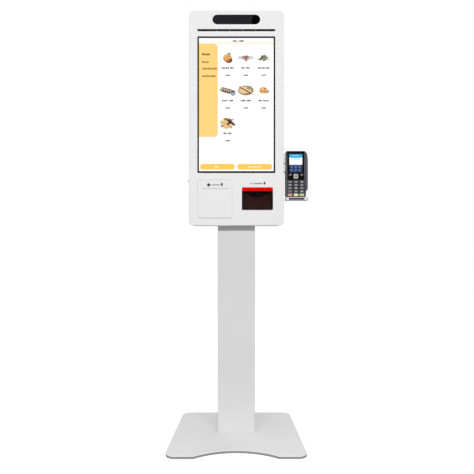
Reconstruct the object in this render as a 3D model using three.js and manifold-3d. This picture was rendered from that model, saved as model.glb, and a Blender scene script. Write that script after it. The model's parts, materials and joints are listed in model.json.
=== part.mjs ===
// Self checkout kiosk: a head with a portrait touch screen, receipt printer, code scanner and payment
// terminal, on a sheet-metal column and a flat base plate.
// Millimetres. Origin on the floor on the base's centre line, 4 mm behind the middle of its depth.
// +X to the viewer's right, -Y to the front, +Z up.
import * as THREE from "three";
import { mergeVertices } from "three/addons/utils/BufferGeometryUtils.js";
import Module from "manifold-3d";

const wasm = await Module();
wasm.setup();

// ---- Driving dimensions ----
const GAP = 0.3; // between faces that touch in the real object
const ROUND_STEPS = 3; // curve divisions of a small corner

const BASE = { frontWidth: 486, backWidth: 441, depth: 418, forward: 4, thick: 10, chord: 290, sagitta: 46 };
const BASE_CORNER = { front: 32, back: 32 };
const COLUMN = { halfWidth: 70, front: -6, back: 64, top: 1200, wall: 2, corner: 3, foot: 4 };
const HEAD = { halfWidth: 170, bottom: 787, top: 1559, front: -100, back: -10, corner: 18, wall: 2 };
const PANEL_BACK = -97.3;
const HOUSING_FRONT = PANEL_BACK + GAP;
const HOUSING_INNER = HEAD.back - HEAD.wall;

const CAMERA = { halfWidth: 85.5, halfHeight: 17.4, z: 1525.5 };
const LIGHT_BAR = { halfWidth: 139.2, halfHeight: 4, z: 1487.2 };
const SCREEN = { halfWidth: 139.5, bottom: 975, top: 1465.2, corner: 3 };
const DOOR_HOLE = { left: -138, right: -14.8, bottom: 813, top: 950.8, corner: 5 };
const DOOR = { left: -137, right: -15.8, bottom: 814.3, top: 949.8, corner: 4 };
const DOOR_PIVOT = { y: -95.3, z: 826.3, pin: 1.5, bore: 1.6 };
const PAPER_SLOT = { left: -123, right: -28, z: 919, halfHeight: 1.15 };
const SCANNER = { left: 20, right: 131.5, bottom: 842.3, top: 924, corner: 4 };

const ROLL = { y: -48, z: 868, radius: 28, bore: 6.4, hub: 6.3, left: -115, right: -36 };
const PLATEN = { y: -74, z: 912, radius: 6, shaft: 2, bore: 2.08, left: -116, right: -35 };
const PRINTER = { left: -126, right: -25, front: -80, back: -14, bottom: 834, top: 936, sheet: 2 };

const LOCK = { y: -70, z: 949, flange: 8, barrel: 6, bore: 4.6, plug: 4.4, out: -173.5 };
const CAM = { left: -134.3, right: -132.3, length: 24, halfWidth: 4 };

const CABLE_HOLE = { z: 1100, radius: 25 };
const INLET = { x: -25, z: 90 };
const SWITCH = { x: 30, z: 90, pivotY: 61.5, tiltDegrees: 10 };

const TERMINAL = { left: 177, right: 252, bottom: 888.4, top: 1054.4, front: -100, split: -86, back: -66 };
const RAIL = { right: 257.3, bottom: 915, top: 1040, grooveLeft: 249.6, grooveRight: 251.4, grooveBack: -88 };
const LENS = { left: 182.6, right: 243.7, bottom: 950, top: 1047 };
const DISPLAY = { left: 188, right: 238, bottom: 978, top: 1045 };
const KEY = { front: -101.2, back: -96.6, flangeBack: -95.6, flange: 0.8, clear: 0.35, travel: 1.2 };
const CRADLE = { left: 176.5, right: 258.8, bottom: 877.7, top: 888.1, front: -103, back: -62.7 };
const CARD_SLOT = { left: 188.5, right: 243.4, bottom: 879, top: 885.6, back: -66 };
const BRACKET = { left: 170.3, right: 240, bottom: 981, top: 1049, front: -62.4, back: -59.9 };

// ---- Colours ----
const finish = (color, roughness, metalness = 0) =>
  new THREE.MeshStandardMaterial({ color, roughness, metalness });
const WHITE_PAINT = finish(0xeceded, 0.45);
const COLUMN_PAINT = finish(0xdedede, 0.5);
const BLACK_GLASS = finish(0x101114, 0.08);
const DARK_PLASTIC = finish(0x242528, 0.4);
const MAROON_PLASTIC = finish(0x3a1f1f, 0.5);
const RED_DIFFUSER = finish(0xe60000, 0.3);
const SCREEN_FACE = finish(0xf4f4f0, 0.2);
const STEEL = finish(0xb6b8ba, 0.35, 0.9);
const BOARD = finish(0x1f5a35, 0.6);
const PAPER = finish(0xf6f4ee, 0.9);
const RUBBER = finish(0x2b2b2b, 0.9);
const TERMINAL_GREY = finish(0x55565a, 0.5);
const KEY_GREY = finish(0x6f7076, 0.55);
const LIGHT_KEY = finish(0xb9bab8, 0.5);
const RED_KEY = finish(0xd5714f, 0.5);
const YELLOW_KEY = finish(0xe5e08a, 0.5);
const GREEN_KEY = finish(0x8fc46a, 0.5);
const CRADLE_GREY = finish(0xc6c6c8, 0.5);

// ---- Solids ----

// A closed geometry as a solid that can be joined and cut.
function solid(geometry) {
  const bare = geometry.index ? geometry.clone() : geometry;
  for (const name of Object.keys(bare.attributes)) {
    if (name !== "position") bare.deleteAttribute(name);
  }
  const merged = mergeVertices(bare, 1e-4);
  return new wasm.Manifold(
    new wasm.Mesh({
      numProp: 3,
      vertProperties: new Float32Array(merged.attributes.position.array),
      triVerts: new Uint32Array(merged.index.array),
    }),
  );
}

function geometryOf(made) {
  const mesh = made.getMesh();
  const geometry = new THREE.BufferGeometry();
  geometry.setAttribute("position", new THREE.BufferAttribute(mesh.vertProperties, 3));
  geometry.setIndex(new THREE.BufferAttribute(mesh.triVerts, 1));
  geometry.computeVertexNormals();
  return geometry;
}

const join = (first, ...rest) => rest.reduce((made, next) => made.add(next), first);
const cut = (first, ...rest) => rest.reduce((made, next) => made.subtract(next), first);

// A block between two corners.
function block(x0, x1, y0, y1, z0, z1) {
  const geometry = new THREE.BoxGeometry(x1 - x0, y1 - y0, z1 - z0);
  return solid(geometry.translate((x0 + x1) / 2, (y0 + y1) / 2, (z0 + z1) / 2));
}

// The turn that carries an outline drawn in a flat plane, extruded along its normal, onto a row axis.
// X takes outlines in (y, z), Y takes outlines in (x, z), Z takes outlines in (x, y).
const ON_AXIS = {
  X: new THREE.Matrix4().makeBasis(
    new THREE.Vector3(0, 1, 0),
    new THREE.Vector3(0, 0, 1),
    new THREE.Vector3(1, 0, 0),
  ),
  Y: new THREE.Matrix4().makeBasis(
    new THREE.Vector3(1, 0, 0),
    new THREE.Vector3(0, 0, 1),
    new THREE.Vector3(0, -1, 0),
  ),
  Z: new THREE.Matrix4(),
};

// An outline extruded along an axis, between two levels on it.
function slab(axis, outline, from, to, steps = ROUND_STEPS) {
  const geometry = new THREE.ExtrudeGeometry(outline, {
    depth: to - from,
    bevelEnabled: false,
    curveSegments: steps,
  });
  geometry.applyMatrix4(ON_AXIS[axis]);
  if (axis === "X") geometry.translate(from, 0, 0);
  if (axis === "Y") geometry.translate(0, to, 0);
  if (axis === "Z") geometry.translate(0, 0, from);
  return solid(geometry);
}

function roundedOutline(u0, u1, v0, v1, radius) {
  const shape = new THREE.Shape();
  shape.moveTo(u0 + radius, v0);
  shape.lineTo(u1 - radius, v0);
  shape.absarc(u1 - radius, v0 + radius, radius, -Math.PI / 2, 0);
  shape.lineTo(u1, v1 - radius);
  shape.absarc(u1 - radius, v1 - radius, radius, 0, Math.PI / 2);
  shape.lineTo(u0 + radius, v1);
  shape.absarc(u0 + radius, v1 - radius, radius, Math.PI / 2, Math.PI);
  shape.lineTo(u0, v0 + radius);
  shape.absarc(u0 + radius, v0 + radius, radius, Math.PI, Math.PI * 1.5);
  shape.closePath();
  return shape;
}

function polygon(points) {
  const shape = new THREE.Shape();
  shape.setFromPoints(points.map(([u, v]) => new THREE.Vector2(u, v)));
  return shape;
}

// A cylinder along an axis through (u, v), where u and v are its place in that axis's outline plane.
function rod(axis, u, v, radius, from, to, sides = 16) {
  const geometry = new THREE.CylinderGeometry(radius, radius, to - from, sides);
  geometry.rotateX(Math.PI / 2);
  geometry.applyMatrix4(ON_AXIS[axis]);
  const middle = (from + to) / 2;
  if (axis === "X") geometry.translate(middle, u, v);
  if (axis === "Y") geometry.translate(u, middle, v);
  if (axis === "Z") geometry.translate(u, v, middle);
  return solid(geometry);
}

// A block whose front and back faces are different four-cornered outlines in (x, z), each given as
// [bottom left, bottom right, top left, top right].
function tapered(front, frontY, back, backY) {
  const geometry = new THREE.BoxGeometry(2, 2, 2);
  const place = geometry.attributes.position;
  for (let i = 0; i < place.count; i++) {
    const corners = place.getY(i) < 0 ? front : back;
    const side = place.getX(i) < 0 ? 0 : 1;
    const level = place.getZ(i) < 0 ? 0 : 2;
    const [x, z] = corners[side + level];
    place.setXYZ(i, x, place.getY(i) < 0 ? frontY : backY, z);
  }
  return solid(geometry);
}

// A rounded frame-shaped insert: the face that fills a hole, and a wider flange behind it.
function flangedInsert(u0, u1, v0, v1, radius, front, step, back, flange) {
  return join(
    slab("Y", roundedOutline(u0, u1, v0, v1, radius), front, step + 0.1),
    slab("Y", roundedOutline(u0 - flange, u1 + flange, v0 - flange, v1 + flange, radius + flange), step, back),
  );
}

// ---- The assembly ----
const kiosk = new THREE.Group();
kiosk.name = "self_checkout_kiosk";

function addNode(name, made, material) {
  const mesh = new THREE.Mesh(geometryOf(made), material);
  mesh.name = name;
  kiosk.add(mesh);
}

// ---- Base and column ----
const BOLT = { x: 48, y: [10, 48], shaft: 4, hole: 4.5, head: 8, headHole: 8.6, bottom: 0.6, top: 20 };

function baseOutline() {
  const { frontWidth, backWidth, depth, forward, chord, sagitta } = BASE;
  const { front, back } = BASE_CORNER;
  const frontHalf = frontWidth / 2;
  const backHalf = backWidth / 2;
  const nearY = -depth / 2 - forward;
  const farY = depth / 2 - forward;
  const lean = Math.atan2(frontHalf - backHalf, depth); // the sides lean in by this angle
  const arcRadius = (chord * chord / 4 + sagitta * sagitta) / (2 * sagitta);
  const arcHalf = Math.asin(chord / 2 / arcRadius);
  // An arc that touches the front or back edge and the leaning side has its centre this far from the corner.
  const frontX = frontHalf - front * Math.tan(Math.PI / 4 + lean / 2);
  const backX = backHalf - back * Math.tan(Math.PI / 4 - lean / 2);
  const shape = new THREE.Shape();
  shape.moveTo(chord / 2, nearY);
  shape.absarc(frontX, nearY + front, front, -Math.PI / 2, lean);
  shape.absarc(backX, farY - back, back, lean, Math.PI / 2);
  shape.absarc(-backX, farY - back, back, Math.PI / 2, Math.PI - lean);
  shape.absarc(-frontX, nearY + front, front, Math.PI - lean, Math.PI * 1.5);
  shape.lineTo(-chord / 2, nearY);
  const arcY = nearY + sagitta - arcRadius;
  shape.absarc(0, arcY, arcRadius, Math.PI / 2 + arcHalf, Math.PI / 2 - arcHalf, true);
  return shape;
}

function eachBolt(make) {
  const places = [];
  for (const side of [-1, 1]) {
    for (const y of BOLT.y) places.push(make(side * BOLT.x, y));
  }
  return places;
}

function boltHole(x, y) {
  const cone = new THREE.CylinderGeometry(BOLT.hole, BOLT.headHole, 5, 16).rotateX(Math.PI / 2);
  return join(
    rod("Z", x, y, BOLT.hole, -1, BASE.thick + COLUMN.foot + 1),
    solid(cone.translate(x, y, 2.4)),
  );
}

function baseBolt(x, y) {
  const profile = [
    [0, BOLT.bottom],
    [BOLT.head, BOLT.bottom],
    [BOLT.shaft, BOLT.bottom + 4],
    [BOLT.shaft, BOLT.top],
    [0, BOLT.top],
  ].map(([r, z]) => new THREE.Vector2(r, z));
  const geometry = new THREE.LatheGeometry(profile, 16);
  return solid(geometry.rotateX(Math.PI / 2).translate(x, y, 0));
}

function makeBaseAndColumn() {
  const plate = slab("Z", baseOutline(), 0, BASE.thick, 6);
  addNode("base_plate", cut(plate, ...eachBolt(boltHole)), WHITE_PAINT);
  eachBolt(baseBolt).forEach((bolt, i) => addNode("base_bolt_" + (i + 1), bolt, STEEL));

  const { halfWidth, front, back, top, wall, corner, foot } = COLUMN;
  const bottom = BASE.thick + GAP;
  const outer = slab("Z", roundedOutline(-halfWidth, halfWidth, front, back, corner), bottom, top);
  const inner = block(-halfWidth + wall, halfWidth - wall, front + wall, back - wall, bottom + foot, top + 1);
  const footHole = block(-30, 30, 14, 44, 0, 40);
  const service = block(-56, 56, back - 4, back + 1, 150, 760);
  const cable = rod("Y", 0, CABLE_HOLE.z, CABLE_HOLE.radius, front - 1, front + wall + 1, 20);
  const inletHole = block(INLET.x - 14.4, INLET.x + 14.4, back - 4, back + 1, INLET.z - 10.4, INLET.z + 10.4);
  const switchHole = block(SWITCH.x - 10.4, SWITCH.x + 10.4, back - 4, back + 1, SWITCH.z - 14.4, SWITCH.z + 14.4);
  addNode(
    "column",
    cut(outer, inner, footHole, service, cable, inletHole, switchHole, ...eachBolt(boltHole)),
    COLUMN_PAINT,
  );
  const coverBack = back + GAP + 1.5;
  addNode(
    "column_rear_cover",
    slab("Y", roundedOutline(-63, 63, 140, 770, 4), back + GAP, coverBack),
    COLUMN_PAINT,
  );
  const inset = wall + GAP;
  addNode(
    "column_top_cap",
    join(
      slab("Z", roundedOutline(-halfWidth, halfWidth, front, back, corner), top + GAP, top + GAP + 3),
      block(-halfWidth + inset, halfWidth - inset, front + inset, back - inset, top - 8, top + 1),
    ),
    DARK_PLASTIC,
  );
}

// ---- Power inlet and switch, low on the column's back ----
function makePowerEntry() {
  const wallBack = COLUMN.back + GAP;
  const { x, z } = INLET;
  const body = join(
    slab("Y", roundedOutline(x - 25, x + 25, z - 12, z + 12, 4), wallBack, wallBack + 3),
    block(x - 14, x + 14, 40, wallBack + 1, z - 10, z + 10),
  );
  const socket = slab("Y", roundedOutline(x - 12, x + 12, z - 8, z + 8.5, 3), 50, wallBack + 4);
  const blades = [
    [-7, -2],
    [7, -2],
    [0, 3],
  ].map(([u, v]) => block(x + u - 1, x + u + 1, 49, wallBack - 2, z + v - 1, z + v + 3));
  addNode("power_inlet", join(cut(body, socket), ...blades), DARK_PLASTIC);

  const s = SWITCH;
  const frame = join(
    slab("Y", roundedOutline(s.x - 13, s.x + 13, s.z - 17, s.z + 17, 2), wallBack, wallBack + 2),
    block(s.x - 10, s.x + 10, 44, wallBack + 1, s.z - 14, s.z + 14),
  );
  const pocket = block(s.x - 7.3, s.x + 7.3, s.pivotY - 4.2, wallBack + 4, s.z - 12.2, s.z + 12.2);
  const trunnionHole = rod("X", s.pivotY, s.z, 1.6, s.x - 9, s.x + 9, 16);
  addNode("switch_housing", cut(frame, pocket, trunnionHole), DARK_PLASTIC);

  const side = polygon([
    [-1, -10.5],
    [4.8, -10.5],
    [3, 0],
    [4.8, 10.5],
    [-1, 10.5],
  ]);
  const tilt = THREE.MathUtils.degToRad(s.tiltDegrees);
  const rocker = new THREE.ExtrudeGeometry(side, { depth: 13.6, bevelEnabled: false });
  rocker.applyMatrix4(ON_AXIS.X).translate(-6.8, 0, 0);
  rocker.rotateX(tilt).translate(s.x, s.pivotY, s.z);
  const trunnion = rod("X", s.pivotY, s.z, 1.5, s.x - 8.7, s.x + 8.7, 16);
  addNode("switch_rocker", join(solid(rocker), trunnion), DARK_PLASTIC);
}

// ---- Head ----
function headOutline(inset = 0) {
  const { halfWidth, bottom, top, corner } = HEAD;
  return roundedOutline(
    -halfWidth + inset,
    halfWidth - inset,
    bottom + inset,
    top - inset,
    corner - inset,
  );
}

function ventSlots() {
  const slots = [];
  for (const side of [-1, 1]) {
    for (let row = 0; row < 7; row++) {
      const z = 1450 + row * 12;
      const x0 = side < 0 ? -130 : 40;
      slots.push(slab("Y", roundedOutline(x0, x0 + 90, z, z + 5, 2.4), HOUSING_INNER - 1, HEAD.back + 1, 1));
    }
  }
  return slots;
}

function speakerSlots() {
  const slots = [];
  for (const x of [-145, 95]) {
    for (let row = 0; row < 4; row++) {
      const y = -62 + row * 8;
      slots.push(block(x, x + 50, y, y + 3, HEAD.bottom - 1, HEAD.bottom + HEAD.wall + 1));
    }
  }
  return slots;
}

function makeHeadShell() {
  const outer = slab("Y", headOutline(), HOUSING_FRONT, HEAD.back);
  const inner = slab("Y", headOutline(HEAD.wall), HOUSING_FRONT - 1, HOUSING_INNER);
  const cable = rod("Y", 0, CABLE_HOLE.z, CABLE_HOLE.radius, HOUSING_INNER - 1, HEAD.back + 1, 20);
  const lockHole = rod("X", LOCK.y, LOCK.z, LOCK.barrel + GAP, -HEAD.halfWidth - 1, -HEAD.halfWidth + 3, 20);
  addNode(
    "rear_housing",
    cut(outer, inner, cable, lockHole, ...ventSlots(), ...speakerSlots()),
    WHITE_PAINT,
  );

  const mountBack = COLUMN.front - GAP;
  const mount = slab("Y", roundedOutline(-66, 66, 900, 1190, 6), HEAD.back + GAP, mountBack);
  const mountHole = rod("Y", 0, CABLE_HOLE.z, CABLE_HOLE.radius, HEAD.back - 1, mountBack + 1, 20);
  addNode("head_mount_plate", cut(mount, mountHole), STEEL);

  const { left, right, bottom, top, corner } = DOOR_HOLE;
  const holes = [
    roundedOutline(
      -CAMERA.halfWidth,
      CAMERA.halfWidth,
      CAMERA.z - CAMERA.halfHeight,
      CAMERA.z + CAMERA.halfHeight,
      CAMERA.halfHeight - 0.01,
    ),
    roundedOutline(
      -LIGHT_BAR.halfWidth,
      LIGHT_BAR.halfWidth,
      LIGHT_BAR.z - LIGHT_BAR.halfHeight,
      LIGHT_BAR.z + LIGHT_BAR.halfHeight,
      1.5,
    ),
    roundedOutline(-SCREEN.halfWidth, SCREEN.halfWidth, SCREEN.bottom, SCREEN.top, SCREEN.corner),
    roundedOutline(left, right, bottom, top, corner),
    roundedOutline(SCANNER.left, SCANNER.right, SCANNER.bottom, SCANNER.top, SCANNER.corner),
  ];
  const face = slab("Y", headOutline(), HEAD.front, PANEL_BACK);
  const cutters = holes.map((hole) => slab("Y", hole, HEAD.front - 1, PANEL_BACK + 1));
  const pin = DOOR_PIVOT;
  const ears = [-142, -13.8].map((x) => block(x, x + 3, PANEL_BACK - 0.1, pin.y + 4, pin.z - 4, pin.z + 4));
  const pinHole = rod("X", pin.y, pin.z, pin.bore, -145, -8, 16);
  addNode("front_panel", cut(join(cut(face, ...cutters), ...ears), pinHole), WHITE_PAINT);
}

function makeScreenAndWindows() {
  const fit = 0.35;
  const glassFront = HEAD.front + 0.4;
  addNode(
    "camera_window",
    flangedInsert(
      -CAMERA.halfWidth + fit,
      CAMERA.halfWidth - fit,
      CAMERA.z - CAMERA.halfHeight + fit,
      CAMERA.z + CAMERA.halfHeight - fit,
      CAMERA.halfHeight - fit - 0.01,
      glassFront,
      PANEL_BACK + GAP,
      PANEL_BACK + GAP + 1.5,
      2.5,
    ),
    BLACK_GLASS,
  );
  const lensX = 55;
  addNode(
    "camera_module",
    join(
      block(-60, 70, -90, -88, 1511, 1539),
      block(lensX - 10, lensX + 10, -93, -89, CAMERA.z - 10, CAMERA.z + 10),
      rod("Y", lensX, CAMERA.z, 7, -95.2, -92, 20),
    ),
    DARK_PLASTIC,
  );
  addNode(
    "light_bar",
    flangedInsert(
      -LIGHT_BAR.halfWidth + fit,
      LIGHT_BAR.halfWidth - fit,
      LIGHT_BAR.z - LIGHT_BAR.halfHeight + fit,
      LIGHT_BAR.z + LIGHT_BAR.halfHeight - fit,
      1.2,
      glassFront,
      PANEL_BACK + GAP,
      PANEL_BACK + GAP + 3,
      2,
    ),
    DARK_PLASTIC,
  );
  addNode(
    "touch_glass",
    slab(
      "Y",
      roundedOutline(
        -SCREEN.halfWidth + fit,
        SCREEN.halfWidth - fit,
        SCREEN.bottom + fit,
        SCREEN.top - fit,
        SCREEN.corner - fit,
      ),
      glassFront,
      glassFront + 3,
    ),
    BLACK_GLASS,
  );
  const lcdFront = glassFront + 3 + GAP;
  const lcdBack = lcdFront + 12;
  addNode("lcd_panel", block(-146, 146, lcdFront, lcdBack, 973, 1468.4), SCREEN_FACE);
  addNode(
    "lcd_back_plate",
    slab("Y", roundedOutline(-150, 150, 966, 1475, 6), lcdBack + GAP, lcdBack + GAP + 1.6),
    STEEL,
  );
}

function makeElectronics() {
  const boardBack = HOUSING_INNER - 26;
  const posts = [];
  for (const x of [-112, 42]) {
    for (const z of [1208, 1362]) posts.push(rod("Y", x, z, 3, boardBack - 0.5, HOUSING_INNER - GAP, 8));
  }
  addNode(
    "main_board",
    join(
      block(-120, 50, boardBack - 1.6, boardBack, 1200, 1370),
      block(-70, -10, boardBack - 18, boardBack - 1, 1270, 1330),
      block(10, 40, boardBack - 6, boardBack - 1, 1250, 1360),
      block(-118, -30, boardBack - 12, boardBack - 1, 1202, 1222),
      ...posts,
    ),
    BOARD,
  );
  addNode("power_supply", block(62, 160, HOUSING_INNER - 38, HOUSING_INNER - GAP, 1030, 1190), STEEL);
  for (const [name, x] of [
    ["speaker_left", -150],
    ["speaker_right", 90],
  ]) {
    const box = block(x, x + 60, -66, -30, HEAD.bottom + HEAD.wall + GAP, 818);
    const magnet = rod("Z", x + 30, -48, 12, 817, 824, 20);
    addNode(name, join(box, magnet), DARK_PLASTIC);
  }
}

// ---- Receipt printer ----
function makePrinterDoor() {
  const { left, right, bottom, top, corner } = DOOR;
  const { y, z, pin, bore } = DOOR_PIVOT;
  const face = slab("Y", roundedOutline(left, right, bottom, top, corner), HEAD.front, PANEL_BACK);
  const slot = block(
    PAPER_SLOT.left,
    PAPER_SLOT.right,
    HEAD.front - 1,
    PANEL_BACK + 1,
    PAPER_SLOT.z - PAPER_SLOT.halfHeight,
    PAPER_SLOT.z + PAPER_SLOT.halfHeight,
  );
  const lugs = [-128, -36].map((x) =>
    join(rod("X", y, z, 4, x, x + 12, 20), block(x, x + 12, PANEL_BACK - 0.1, y, z - 4, z + 4)),
  );
  const strikeBack = LOCK.y + CAM.halfWidth + 3.5;
  const strike = join(
    block(-130.8, -128.8, PANEL_BACK - 0.1, strikeBack, 922, 936),
    block(-135.8, -130.7, strikeBack - 3, strikeBack, 922, 936),
  );
  const bar = rod("X", y, z, bore, left - 1, right + 1, 16);
  addNode("printer_door", cut(join(face, ...lugs, strike), slot, bar), WHITE_PAINT);
  addNode("door_hinge_pin", rod("X", y, z, pin, -141.6, -11.2, 16), STEEL);
}

function makePrinter() {
  const { left, right, front, back, bottom, top, sheet } = PRINTER;
  const chassis = join(
    block(left, left + sheet, front, back, bottom, top),
    block(right - sheet, right, front, back, bottom, top),
    block(left, right, front, back, bottom, bottom + sheet),
    block(left, right, back - sheet, back, bottom, top),
    rod("X", ROLL.y, ROLL.z, ROLL.hub, left + 1, ROLL.left + 7, 32),
    rod("X", ROLL.y, ROLL.z, ROLL.hub, ROLL.right - 7, right - 1, 32),
  );
  const shaftHole = rod("X", PLATEN.y, PLATEN.z, PLATEN.bore, left - 1, right + 1, 20);
  addNode("printer_chassis", cut(chassis, shaftHole), STEEL);

  const roll = cut(
    rod("X", ROLL.y, ROLL.z, ROLL.radius, ROLL.left, ROLL.right, 40),
    rod("X", ROLL.y, ROLL.z, ROLL.bore, ROLL.left - 1, ROLL.right + 1, 32),
  );
  addNode("paper_roll", roll, PAPER);

  addNode(
    "platen_roller",
    join(
      rod("X", PLATEN.y, PLATEN.z, PLATEN.radius, PLATEN.left, PLATEN.right, 20),
      rod("X", PLATEN.y, PLATEN.z, PLATEN.shaft, left - 1.5, right + 1.5, 20),
    ),
    RUBBER,
  );
  const inner = left + sheet + GAP;
  const far = right - sheet - GAP;
  addNode(
    "print_head",
    join(
      block(inner, far, front + 1, -60, 918.8, 930),
      block(inner, far, -62, back - sheet - GAP, 926, 930),
    ),
    DARK_PLASTIC,
  );
}

// ---- Code scanner ----
function makeScanner() {
  const { left, right, bottom, top, corner } = SCANNER;
  const fit = 0.35;
  const glassBack = PANEL_BACK - 0.2;
  addNode(
    "scanner_window",
    slab("Y", roundedOutline(left + fit, right - fit, bottom + fit, top - fit, corner - fit), HEAD.front + 0.4, glassBack),
    RED_DIFFUSER,
  );
  const hoodFront = HOUSING_FRONT;
  const hoodBack = -58;
  const shell = block(left - 6, right + 6, hoodFront, hoodBack, bottom - 6, top + 6);
  const mouth = [
    [left, bottom],
    [right, bottom],
    [left, 912],
    [right, 912],
  ];
  const throat = [
    [47, 894.2],
    [102.2, 894.2],
    [27.6, 911.6],
    [123.7, 911.6],
  ];
  const lightPocket = block(left, right, hoodFront - 1, -86, 910, top);
  addNode(
    "scanner_hood",
    cut(shell, tapered(mouth, hoodFront - 0.1, throat, hoodBack + 0.1), lightPocket),
    MAROON_PLASTIC,
  );
  addNode("scanner_light", block(left + GAP, right - GAP, hoodFront + GAP, -88, 912, top - GAP), RED_DIFFUSER);
  addNode(
    "scanner_module",
    join(
      block(24, 128, hoodBack + GAP, -44, 890, 918),
      block(52, 98, -45, -26, 886, 922),
    ),
    DARK_PLASTIC,
  );
}

// ---- Cam lock on the left side wall ----
function makeLock() {
  const { y, z, flange, barrel, bore, plug, out } = LOCK;
  const wallOuter = -HEAD.halfWidth;
  const wallInner = wallOuter + HEAD.wall;
  const body = join(
    rod("X", y, z, flange, out, wallOuter - GAP, 24),
    rod("X", y, z, barrel, wallOuter - 1, -145, 20),
    rod("X", y, z, flange + 1.5, wallInner + GAP, wallInner + 4, 6),
  );
  addNode("lock_body", cut(body, rod("X", y, z, bore, out - 1, -144, 20)), STEEL);

  const core = rod("X", y, z, plug, out + 0.3, CAM.right, 20);
  const cam = block(CAM.left, CAM.right, y - CAM.length, y + 5, z - CAM.halfWidth, z + CAM.halfWidth);
  const keyway = block(out - 1, out + 6, y - 2.6, y + 2.6, z - 0.6, z + 0.6);
  addNode("lock_cylinder", cut(join(core, cam), keyway), STEEL);
}

// ---- Payment terminal ----
const KEY_COLUMNS = [192.5, 214, 235];
const KEY_ROWS = [943.5, 932, 920.5, 909];
const COLOUR_ROW = 896.5;

// Every key with its place, half sizes, corner and finish.
function keyList() {
  const list = [
    { name: "menu_left", x: 194, z: 968.7, w: 5.2, h: 3.5, r: 2.5, finish: KEY_GREY },
    { name: "menu_right", x: 233.7, z: 968.7, w: 5.2, h: 3.5, r: 2.5, finish: KEY_GREY },
    { name: "centre", x: 213.7, z: 963.4, w: 7.9, h: 8.3, r: 1.5, finish: LIGHT_KEY },
  ];
  const faces = ["1", "2", "3", "4", "5", "6", "7", "8", "9", "star", "0", "hash"];
  faces.forEach((face, i) => {
    const x = KEY_COLUMNS[i % 3];
    const z = KEY_ROWS[Math.floor(i / 3)];
    list.push({ name: face, x, z, w: 7.6, h: 4.1, r: 1.6, finish: KEY_GREY });
  });
  const coloured = [
    ["cancel", RED_KEY],
    ["clear", YELLOW_KEY],
    ["enter", GREEN_KEY],
  ];
  coloured.forEach(([name, colour], i) =>
    list.push({ name, x: KEY_COLUMNS[i], z: COLOUR_ROW, w: 8, h: 4.6, r: 1.6, finish: colour }),
  );
  return list;
}

function keyOutline(key, grow) {
  return roundedOutline(
    key.x - key.w - grow,
    key.x + key.w + grow,
    key.z - key.h - grow,
    key.z + key.h + grow,
    key.r + Math.max(grow, 0),
  );
}

function terminalOutline(inset = 0) {
  const { left, right, bottom, top } = TERMINAL;
  return roundedOutline(left + inset, right - inset, bottom + inset, top - inset, 7 - inset);
}

function railOutline() {
  const { bottom, top } = RAIL;
  return polygon([
    [240, bottom - 6],
    [RAIL.right - 4, bottom - 6],
    [RAIL.right, bottom],
    [RAIL.right, top],
    [RAIL.right - 5, top + 9],
    [240, top + 9],
  ]);
}

function makeTerminalShells(keys) {
  const { front, split, back } = TERMINAL;
  const wall = 3;
  const outer = join(slab("Y", terminalOutline(), front, split), slab("Y", railOutline(), front + 3, split));
  const inner = block(178.3, 248, front + wall, split + 1, 890.5, 1051);
  const groove = block(
    RAIL.grooveLeft,
    RAIL.grooveRight,
    front - 1,
    RAIL.grooveBack,
    TERMINAL.bottom - 1,
    TERMINAL.top + 1,
  );
  const pocketBack = front + 2.2;
  const pocket = slab(
    "Y",
    roundedOutline(LENS.left, LENS.right, LENS.bottom, LENS.top, 2.5),
    front - 1,
    pocketBack,
  );
  const displayHole = block(
    DISPLAY.left - 0.5,
    DISPLAY.right + 0.5,
    front - 1,
    front + wall + 1,
    DISPLAY.bottom - 0.5,
    DISPLAY.top + 0.5,
  );
  const keyHoles = keys.map((key) => slab("Y", keyOutline(key, KEY.clear), front - 1, front + wall + 1, 1));
  addNode(
    "terminal_front_shell",
    cut(outer, inner, groove, pocket, displayHole, ...keyHoles),
    TERMINAL_GREY,
  );

  const rear = join(
    slab("Y", terminalOutline(), split + GAP, back),
    slab("Y", railOutline(), split + GAP, back),
  );
  const hollow = block(178.3, 249, split - 1, back - 3, 891.4, 1051);
  addNode("terminal_rear_shell", cut(rear, hollow), TERMINAL_GREY);
}

function makeTerminalInside(keys) {
  const front = TERMINAL.front;
  const lensKeys = keys.filter((key) => key.z > LENS.bottom);
  const lens = slab(
    "Y",
    roundedOutline(LENS.left + GAP, LENS.right - GAP, LENS.bottom + GAP, LENS.top - GAP, 2.2),
    front + 0.3,
    front + 1.9,
  );
  const holes = lensKeys.map((key) => slab("Y", keyOutline(key, KEY.clear), front - 1, front + 4, 1));
  addNode("terminal_lens", cut(lens, ...holes), BLACK_GLASS);

  addNode(
    "terminal_board",
    join(
      block(180, 246, -93.2, -91.6, 893, 1049),
      block(DISPLAY.left, DISPLAY.right, front + 2.4, -93, DISPLAY.bottom, DISPLAY.top),
    ),
    BOARD,
  );
  for (const key of keys) {
    addNode(
      "terminal_key_" + key.name,
      join(
        slab("Y", keyOutline(key, 0), KEY.front, KEY.back + 0.1, 1),
        slab("Y", keyOutline(key, KEY.flange), KEY.back, KEY.flangeBack, 1),
      ),
      key.finish,
    );
  }
}

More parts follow.
